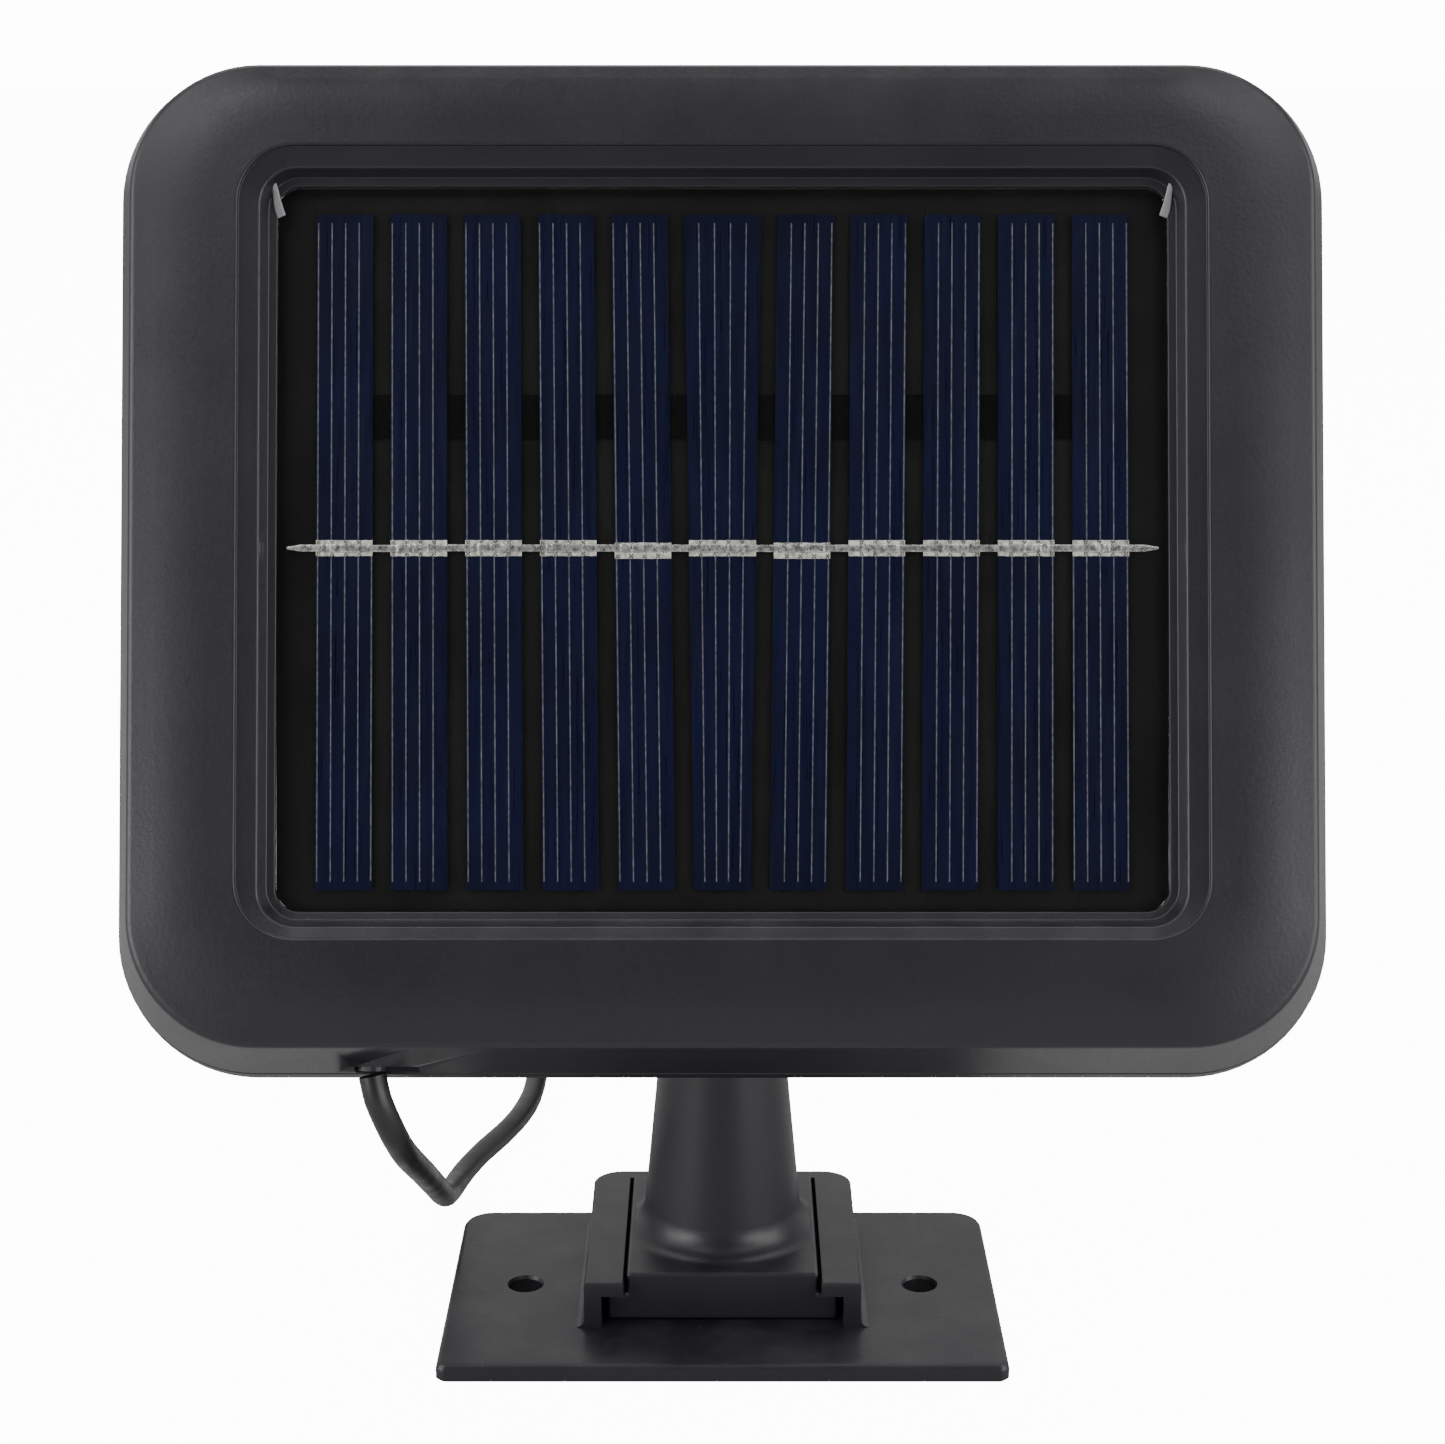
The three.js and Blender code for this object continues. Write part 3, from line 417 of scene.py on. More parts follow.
# ---------------------------------------------------------------- solids: (points, faces) in mm
def rounded(shape, offset=0.0, steps=16, runs=1):
    """Points of a rounded rectangle (right, bottom, top, radius), anticlockwise.

    Each straight side is split into runs, so that long faces shade evenly.
    """
    right, bottom, top, radius = shape[:4]
    left = -right
    right, left, top, bottom = right + offset, left - offset, top + offset, bottom - offset
    r = min(max(radius + offset, 0.3), right * 0.95, (top - bottom) * 0.475)
    corners = ((right - r, top - r, 0), (left + r, top - r, 90), (left + r, bottom + r, 180),
               (right - r, bottom + r, 270))
    points = []
    for x, y, start in corners:
        for i in range(steps + 1):
            angle = math.radians(start + 90 * i / steps)
            points.append((x + r * math.cos(angle), y + r * math.sin(angle)))
        if runs > 1:
            here = Vector(points[-1])
            x, y = corners[(start // 90 + 1) % 4][:2]
            turned = math.radians(start + 90)
            there = Vector((x + r * math.cos(turned), y + r * math.sin(turned)))
            points += [tuple(here.lerp(there, i / runs)) for i in range(1, runs)]
    return points


def softened(keys, steps=5):
    """Section keys (numbers..., fillet): each corner of the profile becomes a small arc.

    A flat strip is kept on each side of every arc, so that wide faces shade flat.
    """
    result = []
    for i, key in enumerate(keys):
        values, fillet = key[:-1], key[-1]
        if not fillet:
            result.append(values)
            continue
        ends = []
        for other in (keys[i - 1], keys[(i + 1) % len(keys)]):
            run = math.hypot(other[0] - values[0], other[-2] - values[-1])
            for reach in (fillet * 1.2, fillet):
                share = min(reach / max(run, 1e-6), 0.49 if reach > fillet else 0.45)
                ends.append([a + (b - a) * share for a, b in zip(values, other[:-1])])
        outer_a, a, outer_b, b = ends
        result.append(outer_a)
        for step in range(steps + 1):
            t = step / steps
            result.append([(1 - t) ** 2 * p + 2 * t * (1 - t) * q + t * t * r
                           for p, q, r in zip(a, values, b)])
        result.append(outer_b)
    return result


def loft(sections, closed=False):
    """Rings of equal point count, [(x, y, z)...] each; a closed loop, or capped at both ends."""
    count = len(sections[0])
    points = [p for ring in sections for p in ring]
    faces = []
    last = len(sections)
    for s in range(last if closed else last - 1):
        here, there = s * count, ((s + 1) % last) * count
        for i in range(count):
            j = (i + 1) % count
            faces.append((here + i, here + j, there + j, there + i))
    if not closed:
        faces.append(tuple(reversed(range(count))))
        faces.append(tuple(range((last - 1) * count, last * count)))
    return points, faces


def rounded_loft(keys, closed=False, steps=16, runs=1):
    """keys: (right, bottom, top, radius, z, fillet)."""
    return loft([[(x, y, key[4]) for x, y in rounded(key, steps=steps, runs=runs)]
                 for key in softened(keys)], closed)


def lathe(profile, sides=48):
    """A closed solid about Z from (r, z) points; the ends are closed at the axis."""
    spokes = [(math.cos(2 * math.pi * i / sides), math.sin(2 * math.pi * i / sides)) for i in range(sides)]
    return loft([[(r * c, r * s, z) for c, s in spokes] for r, z in profile])


def soft_profile(corners, fillets, steps=4):
    """(r, z) corners with rounded ones in between; the two ends stay as they are."""
    result = [corners[0]]
    for i in range(1, len(corners) - 1):
        here, fillet = Vector(corners[i]), fillets[i - 1]
        if not fillet:
            result.append(tuple(here))
            continue
        before, after = Vector(corners[i - 1]) - here, Vector(corners[i + 1]) - here
        a = here + before * min(fillet / before.length, 0.48)
        b = here + after * min(fillet / after.length, 0.48)
        for step in range(steps + 1):
            t = step / steps
            result.append(tuple((1 - t) ** 2 * a + 2 * t * (1 - t) * here + t * t * b))
    return result + [corners[-1]]


def prism(outline, low, high, axis="Z"):
    """A flat outline pushed along an axis, from low to high."""
    lay = {"X": lambda p, level: (level, p[0], p[1]), "Y": lambda p, level: (p[0], level, p[1]),
           "Z": lambda p, level: (p[0], p[1], level)}[axis]
    return loft([[lay(point, level) for point in outline] for level in (low, high)])


def moved(solid, matrix):
    points, faces = solid
    return [tuple(matrix @ Vector(p)) for p in points], faces


def shift(x, y, z):
    return Matrix.Translation((x, y, z))


def turn(degrees, axis):
    return Matrix.Rotation(math.radians(degrees), 4, axis)


def together(*solids):
    points, faces = [], []
    for more, loops in solids:
        base = len(points)
        points += more
        faces += [tuple(base + i for i in loop) for loop in loops]
    return points, faces


def as_mesh(solid, name="solid"):
    mesh = bpy.data.meshes.new(name)
    mesh.from_pydata([tuple(p) for p in solid[0]], [], solid[1])
    mesh.validate()
    shape = bmesh.new()
    shape.from_mesh(mesh)
    bmesh.ops.remove_doubles(shape, verts=shape.verts, dist=1e-4)
    bmesh.ops.recalc_face_normals(shape, faces=shape.faces)
    shape.to_mesh(mesh)
    shape.free()
    return mesh


def settled(mesh, add_modifiers):
    """The mesh after modifiers that add_modifiers puts on a passing object."""
    passing = bpy.data.objects.new("passing", mesh)
    bpy.context.collection.objects.link(passing)
    helpers = add_modifiers(passing) or []
    result = bpy.data.meshes.new_from_object(
        passing.evaluated_get(bpy.context.evaluated_depsgraph_get()))
    for made in [passing, *helpers]:
        bpy.data.objects.remove(made)
    return result


def solid_mesh(solid):
    return solid if isinstance(solid, bpy.types.Mesh) else as_mesh(solid)


def carved(base, cutters=(), added=()):
    """base with solids added, then others cut out of it."""
    mesh = solid_mesh(base)
    for solid, operation in [(s, "UNION") for s in added] + [(s, "DIFFERENCE") for s in cutters]:
        def boolean(passing):
            helper = bpy.data.objects.new("cutter", solid_mesh(solid))
            bpy.context.collection.objects.link(helper)
            helper.hide_render = True
            made = passing.modifiers.new("cut", "BOOLEAN")
            made.operation, made.solver, made.object = operation, "EXACT", helper
            return [helper]
        mesh = settled(mesh, boolean)
    return mesh


def edge_rounded(mesh, width, angle=32, segments=3):
    """Small moulded radii on every sharp edge."""
    def rounding(passing):
        made = passing.modifiers.new("radius", "BEVEL")
        made.width, made.segments = width, segments
        made.limit_method, made.angle_limit = "ANGLE", math.radians(angle)
        made.use_clamp_overlap = True
    return settled(mesh, rounding)


def shaded_flat_faces(mesh, sharp):
    """Smooth shading that leans on the large faces, so that they stay flat."""
    mesh.polygons.foreach_set("use_smooth", [True] * len(mesh.polygons))
    mesh.set_sharp_from_angle(angle=math.radians(sharp))

    def weighting(passing):
        made = passing.modifiers.new("flat faces", "WEIGHTED_NORMAL")
        made.keep_sharp = True
        made.weight = 100
    return settled(mesh, weighting)


def copy_of(node, dissolve=0.6):
    """The CAD node's solid as one clean mesh, in millimetres in the row frame."""
    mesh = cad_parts[node].data.copy()
    mesh.transform(Matrix.Scale(1 / MM, 4))
    shape = bmesh.new()
    shape.from_mesh(mesh)
    bmesh.ops.remove_doubles(shape, verts=shape.verts, dist=1e-3)
    bmesh.ops.dissolve_limit(shape, angle_limit=math.radians(dissolve), verts=shape.verts,
                             edges=shape.edges)
    shape.to_mesh(mesh)
    shape.free()
    mesh.materials.clear()
    return mesh


def finished(name, mesh, body, material, stands_for=(), place=STANDING, sharp=32):
    """A piece at the origin, in metres, that rides on its body, if it has just one."""
    if not isinstance(mesh, bpy.types.Mesh):
        mesh = as_mesh(mesh)
    mesh.transform(Matrix.Scale(MM, 4) @ place)
    materials = material if isinstance(material, (list, tuple)) else [material]
    if not mesh.materials:
        for one in materials:
            mesh.materials.append(one)
    mesh = shaded_flat_faces(mesh, sharp)
    mesh.name = name
    piece = bpy.data.objects.new(name, mesh)
    bpy.context.collection.objects.link(piece)
    if body:
        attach(piece, body)
    if stands_for:
        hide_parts(*stands_for)
    return piece


def repaint(material, *nodes):
    """A CAD node whose shape is right gets its own finish."""
    for node in nodes:
        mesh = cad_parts[node].data
        mesh.materials.clear()
        mesh.materials.append(material)


# ---------------------------------------------------------------- paths and tubes
def smooth_path(knots, steps):
    """Centripetal Catmull-Rom through the knots."""
    knots = [Vector(k) for k in knots]
    ends = [2 * knots[0] - knots[1], *knots, 2 * knots[-1] - knots[-2]]
    path = []
    for p0, p1, p2, p3 in zip(ends, ends[1:], ends[2:], ends[3:]):
        t0 = 0.0
        t1 = t0 + (p1 - p0).length ** 0.5
        t2 = t1 + (p2 - p1).length ** 0.5
        t3 = t2 + (p3 - p2).length ** 0.5
        for i in range(steps):
            t = t1 + (t2 - t1) * i / steps
            a1 = p0 * ((t1 - t) / (t1 - t0)) + p1 * ((t - t0) / (t1 - t0))
            a2 = p1 * ((t2 - t) / (t2 - t1)) + p2 * ((t - t1) / (t2 - t1))
            a3 = p2 * ((t3 - t) / (t3 - t2)) + p3 * ((t - t2) / (t3 - t2))
            b1 = a1 * ((t2 - t) / (t2 - t0)) + a2 * ((t - t0) / (t2 - t0))
            b2 = a2 * ((t3 - t) / (t3 - t1)) + a3 * ((t - t1) / (t3 - t1))
            path.append(b1 * ((t2 - t) / (t2 - t1)) + b2 * ((t - t1) / (t2 - t1)))
    return path + [knots[-1]]


def tube_mesh(path, diameter, sides=14):
    """A closed round tube along path, with UVs: u round it, v along it in millimetres."""
    count = len(path)
    heading = [(path[min(i + 1, count - 1)] - path[max(i - 1, 0)]).normalized() for i in range(count)]
    side = heading[0].cross(Vector((0.3, 0.2, 1))).normalized()
    points, distance, runs = [], 0.0, []
    for i, centre in enumerate(path):
        if i:
            distance += (centre - path[i - 1]).length
            side = (side - heading[i] * side.dot(heading[i])).normalized()
        other = heading[i].cross(side)
        runs.append(distance)
        for k in range(sides):
            angle = 2 * math.pi * k / sides
            points.append(centre + (side * math.cos(angle) + other * math.sin(angle)) * diameter / 2)
    faces = [(i * sides + k, i * sides + (k + 1) % sides, (i + 1) * sides + (k + 1) % sides,
              (i + 1) * sides + k) for i in range(count - 1) for k in range(sides)]
    faces += [tuple(reversed(range(sides))), tuple(range((count - 1) * sides, count * sides))]
    mesh = bpy.data.meshes.new("tube")
    mesh.from_pydata([tuple(p) for p in points], [], faces)
    layer = mesh.uv_layers.new(name="UVMap").data
    for face in mesh.polygons:
        for n, loop in enumerate(face.loop_indices):
            vertex = mesh.loops[loop].vertex_index
            u = (vertex % sides) / sides
            if face.loop_total == 4 and n in (1, 2) and u == 0:
                u = 1.0
            layer[loop].uv = (u, runs[vertex // sides] * 0.02)
    return mesh


# ---------------------------------------------------------------- cord, coil and plug
def coil_path(per_turn=28):
    """Neat round winding: rows laid outwards and inwards in turn, one on the other.

    Each row steps sideways in its own stretch of the turn, the top row first, so that
    no strand passes through another.
    """
    def place_of(k):
        row, step = divmod(k, COIL_WIDE)
        return (step if row % 2 else COIL_WIDE - 1 - step), row

    def stretch_of(k):
        row, step = divmod(k, COIL_WIDE)
        rank = 2 * (COIL_HIGH - 1 - row)
        return (rank - 1) if step == COIL_WIDE - 1 else rank

    path = []
    windows = 2 * COIL_HIGH - 1
    for i in range(int(COIL_TURNS * per_turn) + 1):
        k, f = divmod(i / per_turn, 1.0)
        k = int(k)
        here, there = place_of(k), place_of(k + 1)
        share = min(max(f * windows - stretch_of(k), 0), 1)
        share = share * share * (3 - 2 * share) * 0.45 + share * 0.55
        column = here[0] + (there[0] - here[0]) * share
        row = here[1] + (there[1] - here[1]) * share
        radius = COIL_MEAN_R + (column - (COIL_WIDE - 1) / 2) * CORD_D
        angle = math.pi - 2 * math.pi * f
        path.append(Vector((COIL_X + radius * math.cos(angle), COIL_Y + radius * math.sin(angle),
                            COIL_LIFT + CORD_D / 2 + row * CORD_D)))
    return path


def make_plug():
    """Round male low-voltage plug: ribbed grip, lock nut and a barrel contact."""
    lay = shift(PLUG_X, PLUG_Y, PLUG_Z) @ turn(-90, "X")
    grip = [(0.0, 0.0), (2.0, 0.0), (2.35, 0.5)]
    for rib in range(6):
        z = 1.4 + rib * 1.7
        r = 2.5 + rib * 0.3
        grip += [(r, z), (r - 0.35, z + 0.25), (r - 0.35, z + 0.75), (r + 0.12, z + 1.0)]
    grip += soft_profile([(4.3, 12.2), (4.4, 12.9), (4.8, 13.8), (4.8, 23.4), (4.2, 24.0), (0.0, 24.0)],
                         [0.3, 0.5, 0.4, 0.3])
    body = finished("plug_grip", lathe(grip, 40), "knuckle", RUBBER, ["plug_body"], lay)
    nut_lay = lay @ shift(0, 0, PLUG_LENGTH + 0.3)
    wall = [(4.3, 0.0), (4.8, 0.5), (4.8, 6.6), (4.6, 6.8), (4.6, 7.6), (4.3, 8.0), (3.9, 8.0),
            (3.7, 7.8), (3.7, 0.2), (3.9, 0.0)]
    rings = []
    for r, z in wall:
        ridged = r > 4.75
        rings.append([((r - (0.28 if ridged and i % 4 == 0 else 0)) * math.cos(i * math.pi / 48),
                       (r - (0.28 if ridged and i % 4 == 0 else 0)) * math.sin(i * math.pi / 48), z)
                      for i in range(96)])
    nut = finished("plug_lock_nut", loft(rings, closed=True), "knuckle", RUBBER, ["plug_nut"],
                   nut_lay)
    barrel = [(0.0, 0.0), (2.75, 0.0), (2.75, 8.9), (2.45, 9.6), (1.35, 9.6), (1.1, 9.3), (1.1, 2.6)]
    contact = finished("plug_contact", lathe(barrel + [(0.0, 2.6)], 40), "knuckle", CONTACT,
                       ["plug_barrel"], nut_lay)
    return [body, nut, contact]


def make_tie():
    """Releasable strap round the coil's turns, with its buckle outside."""
    reach, rise = COIL_WIDE * CORD_D / 2 + 0.25, COIL_HIGH * CORD_D + 0.2
    thick, half = 0.55, 1.7

    def ring(offset, y):
        shape = (reach, -0.2, rise, 1.5)
        return [(x, y, z) for x, z in rounded(shape, offset, 6)]

    band = loft([ring(thick, -half + 0.15), ring(thick - 0.12, -half), ring(0.1, -half), ring(0, -half + 0.1),
                 ring(0, half - 0.1), ring(0.1, half), ring(thick - 0.12, half), ring(thick, half - 0.15)],
                closed=True)
    buckle = rounded_loft([(1.9, -2.3, 2.3, 0.5, 0, 0.3), (1.9, -2.3, 2.3, 0.5, 1.7, 0.3)])
    buckle = moved(buckle, shift(reach + 0.35, 0, rise * 0.55) @ turn(90, "Y"))
    lay = shift(COIL_X, COIL_Y, COIL_LIFT) @ turn(TIE_TURN, "Z") @ shift(COIL_MEAN_R, 0, 0)
    return finished("coil_tie", together(band, buckle), "knuckle", RUBBER, ["cord_tie"], lay)


def make_cord():
    knots = [Vector(p) for p in LEAD_ROUTE] + coil_path() + [Vector(p) for p in TAIL_ROUTE]
    path = smooth_path(knots, 2)
    mesh = tube_mesh(path, CORD_D)
    cord = finished("lead_cord", mesh, None, JACKET, ["cord_lead", "cord_coil", "cord_tail"],
                    sharp=60)
    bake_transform(cord)
    plug = make_plug()
    tie = make_tie()
    return cord


set_camera()
make_cord()


# ---------------------------------------------------------------- repeated details: node trees
def grow(name, sockets, build, **values):
    """The mesh that a Geometry Nodes tree makes, in millimetres."""
    tree = bpy.data.node_groups.new(name, "GeometryNodeTree")
    tree.is_modifier = True
    tree.interface.new_socket("Geometry", in_out="OUTPUT", socket_type="NodeSocketGeometry")
    kinds = {float: "NodeSocketFloat", int: "NodeSocketInt", tuple: "NodeSocketVector",
             bpy.types.Material: "NodeSocketMaterial"}
    identifiers = {}
    for label, value in sockets.items():
        kind = "NodeSocketMaterial" if isinstance(value, bpy.types.Material) else kinds[type(value)]
        made = tree.interface.new_socket(label, in_out="INPUT", socket_type=kind)
        identifiers[label] = made.identifier
    given = tree.nodes.new("NodeGroupInput").outputs
    shape = build(tree, given)
    whole = add(tree, "GeometryNodeRealizeInstances", Geometry=shape).outputs[0]
    painted = add(tree, "GeometryNodeSetMaterial", Geometry=whole, Material=given["Finish"]).outputs[0]
    tree.links.new(painted, tree.nodes.new("NodeGroupOutput").inputs[0])

    def modifier(passing):
        made = passing.modifiers.new(name, "NODES")
        made.node_group = tree
        for label, value in {**sockets, **values}.items():
            made[identifiers[label]] = list(value) if isinstance(value, tuple) else value

    return settled(bpy.data.meshes.new(name), modifier)


def finger_tree(tree, given):
    """Conductor lines: one thin bar for each, side by side at a regular step."""
    row = add(tree, "GeometryNodeMeshLine", {"mode": "OFFSET"}, Count=given["Count"],
              Offset=add(tree, "ShaderNodeCombineXYZ", X=given["Step"]).outputs[0])
    size = add(tree, "ShaderNodeCombineXYZ", X=given["Width"], Y=given["Length"],
               Z=given["Height"]).outputs[0]
    bar = add(tree, "GeometryNodeMeshCube", Size=size).outputs[0]
    spread = add(tree, "GeometryNodeInstanceOnPoints", Points=row.outputs[0], Instance=bar)
    return spread.outputs[0]


def perforation_tree(tree, given):
    """Punched quincunxes: four holes round a fifth, repeated along a row."""
    row = add(tree, "GeometryNodeMeshLine", {"mode": "OFFSET"}, Count=given["Count"],
              Offset=add(tree, "ShaderNodeCombineXYZ", X=given["Step"]).outputs[0])
    square = add(tree, "GeometryNodeMeshGrid", Size_X=given["Spread"], Size_Y=given["Spread"],
                 Vertices_X=2, Vertices_Y=2).outputs[0]
    centre = add(tree, "GeometryNodeMeshLine", {"mode": "OFFSET"}, Count=1).outputs[0]
    five = add(tree, "GeometryNodeJoinGeometry")
    tree.links.new(square, five.inputs[0])
    tree.links.new(centre, five.inputs[0])
    hole = add(tree, "GeometryNodeMeshCylinder", {"fill_type": "NGON"}, Vertices=8,
               Radius=given["Hole radius"], Depth=given["Depth"]).outputs[0]
    cluster = add(tree, "GeometryNodeInstanceOnPoints", Points=five.outputs[0], Instance=hole)
    solid = add(tree, "GeometryNodeRealizeInstances", Geometry=cluster.outputs[0]).outputs[0]
    spread = add(tree, "GeometryNodeInstanceOnPoints", Points=row.outputs[0], Instance=solid)
    return spread.outputs[0]


def merged(meshes, name):
    """Several meshes of one finish as one."""
    shape = bmesh.new()
    for mesh in meshes:
        shape.from_mesh(mesh)
    result = bpy.data.meshes.new(name)
    shape.to_mesh(result)
    shape.free()
    return result


# ---------------------------------------------------------------- head mouldings
def make_front_frame():
    """Bezel and skirt in one moulding, with the stepped recess round the panel."""
    def key(shape, z, fillet, offset=0.0):
        right, bottom, top, radius = shape
        return (right + offset, bottom - offset, top + offset, radius + offset, z, fillet)

    inner_ceiling = 1.0
    profile = [
        key(PARTING, PARTING_Z, 0.3),
        key(FACE, 3.0, 0.55),
        key(RIDGE, 4.0, 3.2, 6.4),
        key(RIDGE, 4.2, 0.22),
        key(RIDGE, 3.78, 0.07, -0.13),
        key(LEDGE, 3.35, 0.22),
        key(STEP, 1.42, 0.12),
        key(WINDOW, 1.25, 0.12),
        key(WINDOW, 0.8, 0),
        key(BOARD, 0.8, 0, 0.3),
        key(BOARD, -2.4, 0, 0.3),
        key(BOARD, -2.4, 0, 1.9),
        key(BOARD, inner_ceiling, 0.4, 1.9),
        key(FACE, inner_ceiling, 0.8, -SHELL),
        key(PARTING, PARTING_Z, 0.2, -SHELL),
    ]
    shell = rounded_loft(profile, closed=True, steps=18, runs=12)
    slot = rounded_loft([
        (SLOT_WIDTH / 2, -4, 4, 0.3, -10, 0), (SLOT_WIDTH / 2, -4, 4, 0.3, SLOT_DEPTH, 0.25),
    ])
    slot = moved(slot, shift(SLOT_X, PARTING[1] + 1, PARTING_Z))
    mesh = carved(shell, [slot])
    return finished("front_moulding", mesh, "head", CASING, ["front_frame"], HEAD)


PIVOT_V = (POST_Y + 20.5) * math.sin(LEAN) + (PIVOT_Z - 105.7) * math.cos(LEAN)
PIVOT_N = -(POST_Y + 20.5) * math.cos(LEAN) + (PIVOT_Z - 105.7) * math.sin(LEAN)


def hinge_ear(low, high):
    """Gusset from the flat of the cover to a round eye on the tilt axis."""
    eye, root = 7.6, BACK_Z + 1

    def touch(v, side):
        reach = math.hypot(v - PIVOT_V, root - PIVOT_N)
        return math.atan2(root - PIVOT_N, v - PIVOT_V) + side * math.acos(eye / reach)

    start, end = touch(-13, -1), touch(-43, 1) - 2 * math.pi
    outline = [(-43, root), (-13, root)]
    for i in range(29):
        angle = start + (end - start) * i / 28
        outline.append((PIVOT_V + eye * math.cos(angle), PIVOT_N + eye * math.sin(angle)))
    ear = edge_rounded(as_mesh(prism(outline, low, high, "X")), 0.5)
    bore = lathe([(0, low - 1), (3.0, low - 1), (2.62, low + 0.3), (2.62, high - 0.3), (3.0, high + 1),
                  (0, high + 1)], 40)
    return carved(ear, [moved(bore, shift(0, PIVOT_V, PIVOT_N) @ turn(90, "Y"))])


def make_back_cover():
    """Back half: chamfered dish with a moulded groove, screw wells and two hinge ears."""
    def key(shape, z, fillet, offset=0.0):
        right, bottom, top, radius = shape
        return (right + offset, bottom - offset, top + offset, max(radius + offset, 1), z, fillet)

    profile = [
        key(REAR, BACK_Z + SHELL, 0, -10),
        key(REAR, REAR_EDGE_Z - 0.6, 0, -RIM),
        key(PARTING, COVER_FRONT, 0, -RIM),
        key(PARTING, COVER_FRONT, 0.25, 0.1),
        key(REAR, REAR_EDGE_Z, 0.6),
        key(REAR, REAR_EDGE_Z - 1, 0.6, -1.2),
        key(REAR, BACK_Z, 1.4, -9.6),
        key(REAR, BACK_Z, 0.15, -13.4),
        key(REAR, BACK_Z + 0.45, 0.15, -13.8),
        key(REAR, BACK_Z + 0.45, 0.15, -14.8),
        key(REAR, BACK_Z, 0.15, -15.2),
        key(REAR, BACK_Z, 0, -30),
    ]
    shell = rounded_loft(profile, runs=8)
    x, top, bottom = CORNER_SCREW
    wells = []
    for place in ((-x, bottom), (x, bottom), (-x, top), (x, top)):
        well = lathe([(0, BACK_Z - 2), (3.0, BACK_Z - 2), (3.0, SCREW_SEAT), (0, SCREW_SEAT)], 32)
        wells.append(moved(well, shift(*place, 0)))
    ears = [hinge_ear(4.3, EAR_OUTER), hinge_ear(-EAR_OUTER, -4.3)]
    mesh = carved(shell, wells, ears)
    return finished("back_moulding", mesh, "head", CASING, ["back_cover"], HEAD)


# ---------------------------------------------------------------- the panel
def cell_edges(index, y):
    """Left and right edge of a cell at height y: the middle one widens upwards."""
    place = index - CELL_COUNT // 2
    share = (y - CELL_MIDDLE) / CELL_LENGTH + 0.5
    low, half = place * 8.71, 3.25
    top = math.copysign(9.6 + (abs(place) - 1) * 8.5, place) if place else 0.0
    top_half = 3.25 if place else 4.45
    centre = low + (top - low) * share
    half = half + (top_half - half) * share
    return centre - half, centre + half


def finger_shares(index):
    place = index - CELL_COUNT // 2
    if place == 0:
        return [0.19, 0.395, 0.605, 0.81]
    shares = [0.03, 0.27, 0.51, 0.75]
    return shares if place < 0 else [1 - s for s in reversed(shares)]


def make_cells():
    repaint(SILICON, *[f"solar_cell_{i + 1:02d}" for i in range(CELL_COUNT)])
    repaint(BACKSHEET, "panel_board")
    repaint(TAPE, "backing_tape")


def make_fingers():
    """Screen-printed conductor lines: four along each cell, leaning with it."""
    sockets = {"Count": 1, "Step": 1.6, "Width": 0.14, "Length": 76.0, "Height": 0.03,
               "Finish": LINE_PRINT}
    bars = grow("conductor lines", sockets, finger_tree)
    meshes = []
    for index in range(CELL_COUNT):
        shares = finger_shares(index)
        if index in (0, CELL_COUNT - 1):
            shares = shares + [0.985 if index == 0 else 0.015]
        for share in shares:
            bar = bars.copy()
            outer = share > 0.95 if index == 0 else index == CELL_COUNT - 1 and share < 0.05
            for vertex in bar.vertices:
                y = CELL_MIDDLE + vertex.co.y
                if outer:
                    y = CELL_MIDDLE + 0.9 + (vertex.co.y - 38) * 0.51
                left, right = cell_edges(index, y)
                vertex.co.x += left + (right - left) * share
                vertex.co.y = y
                vertex.co.z += 0.015
            meshes.append(bar)
    finished("conductor_lines", merged(meshes, "lines"), "head", LINE_PRINT, place=HEAD)


def pad_height(index):
    """The pads are printed a little low on the cells beside the middle one."""
    return RIBBON_MIDDLE - (0.3 if index in (4, 6) else 0.0)


def make_pads():
    """Silver solder pads across each cell, with ragged printed ends."""
    solids = []
    for index in range(CELL_COUNT):
        y = pad_height(index)
        left, right = cell_edges(index, y)
        steps = 26
        low, high = [], []
        for i in range(steps + 1):
            x = left + (right - left) * i / steps
            wobble = 0.05 * noise.noise((x * 2.1, index * 3.7, 0.3))
            low.append((x, y - 0.92 + wobble))
            high.append((x, y + 0.92 + 0.05 * noise.noise((x * 2.3, index * 2.9, 5.1))))
        ring = low + high[::-1]
        solids.append(loft([[(px, py, 0.004) for px, py in ring],
                            [(px, py, 0.05) for px, py in ring]]))
    finished("solder_pads", together(*solids), "head", SILVER_PRINT, place=HEAD)


def make_perforations():
    """Quincunxes of punched holes where the lines meet the pads, showing the dark cell."""
    sockets = {"Count": 1, "Step": 1.6, "Spread": 0.3, "Hole radius": 0.095, "Depth": 0.02,
               "Finish": SILICON}
    cluster = grow("punched holes", sockets, perforation_tree)
    meshes = []
    for index in range(CELL_COUNT):
        y = pad_height(index)
        left, right = cell_edges(index, y)
        places = [(left + (right - left) * share + 0.12 * (1 if index < 5 else -1), y + rise)
                  for share in finger_shares(index) for rise in (-0.64, 0.64)]
        inner = right - 0.75 if index < 5 else left + 0.75
        if index != 5:
            places.append((inner, y))
        for x, v in places:
            one = cluster.copy()
            one.transform(shift(x, v, 0.047))
            meshes.append(one)
    finished("punched_holes", merged(meshes, "holes"), "head", SILICON, place=HEAD)


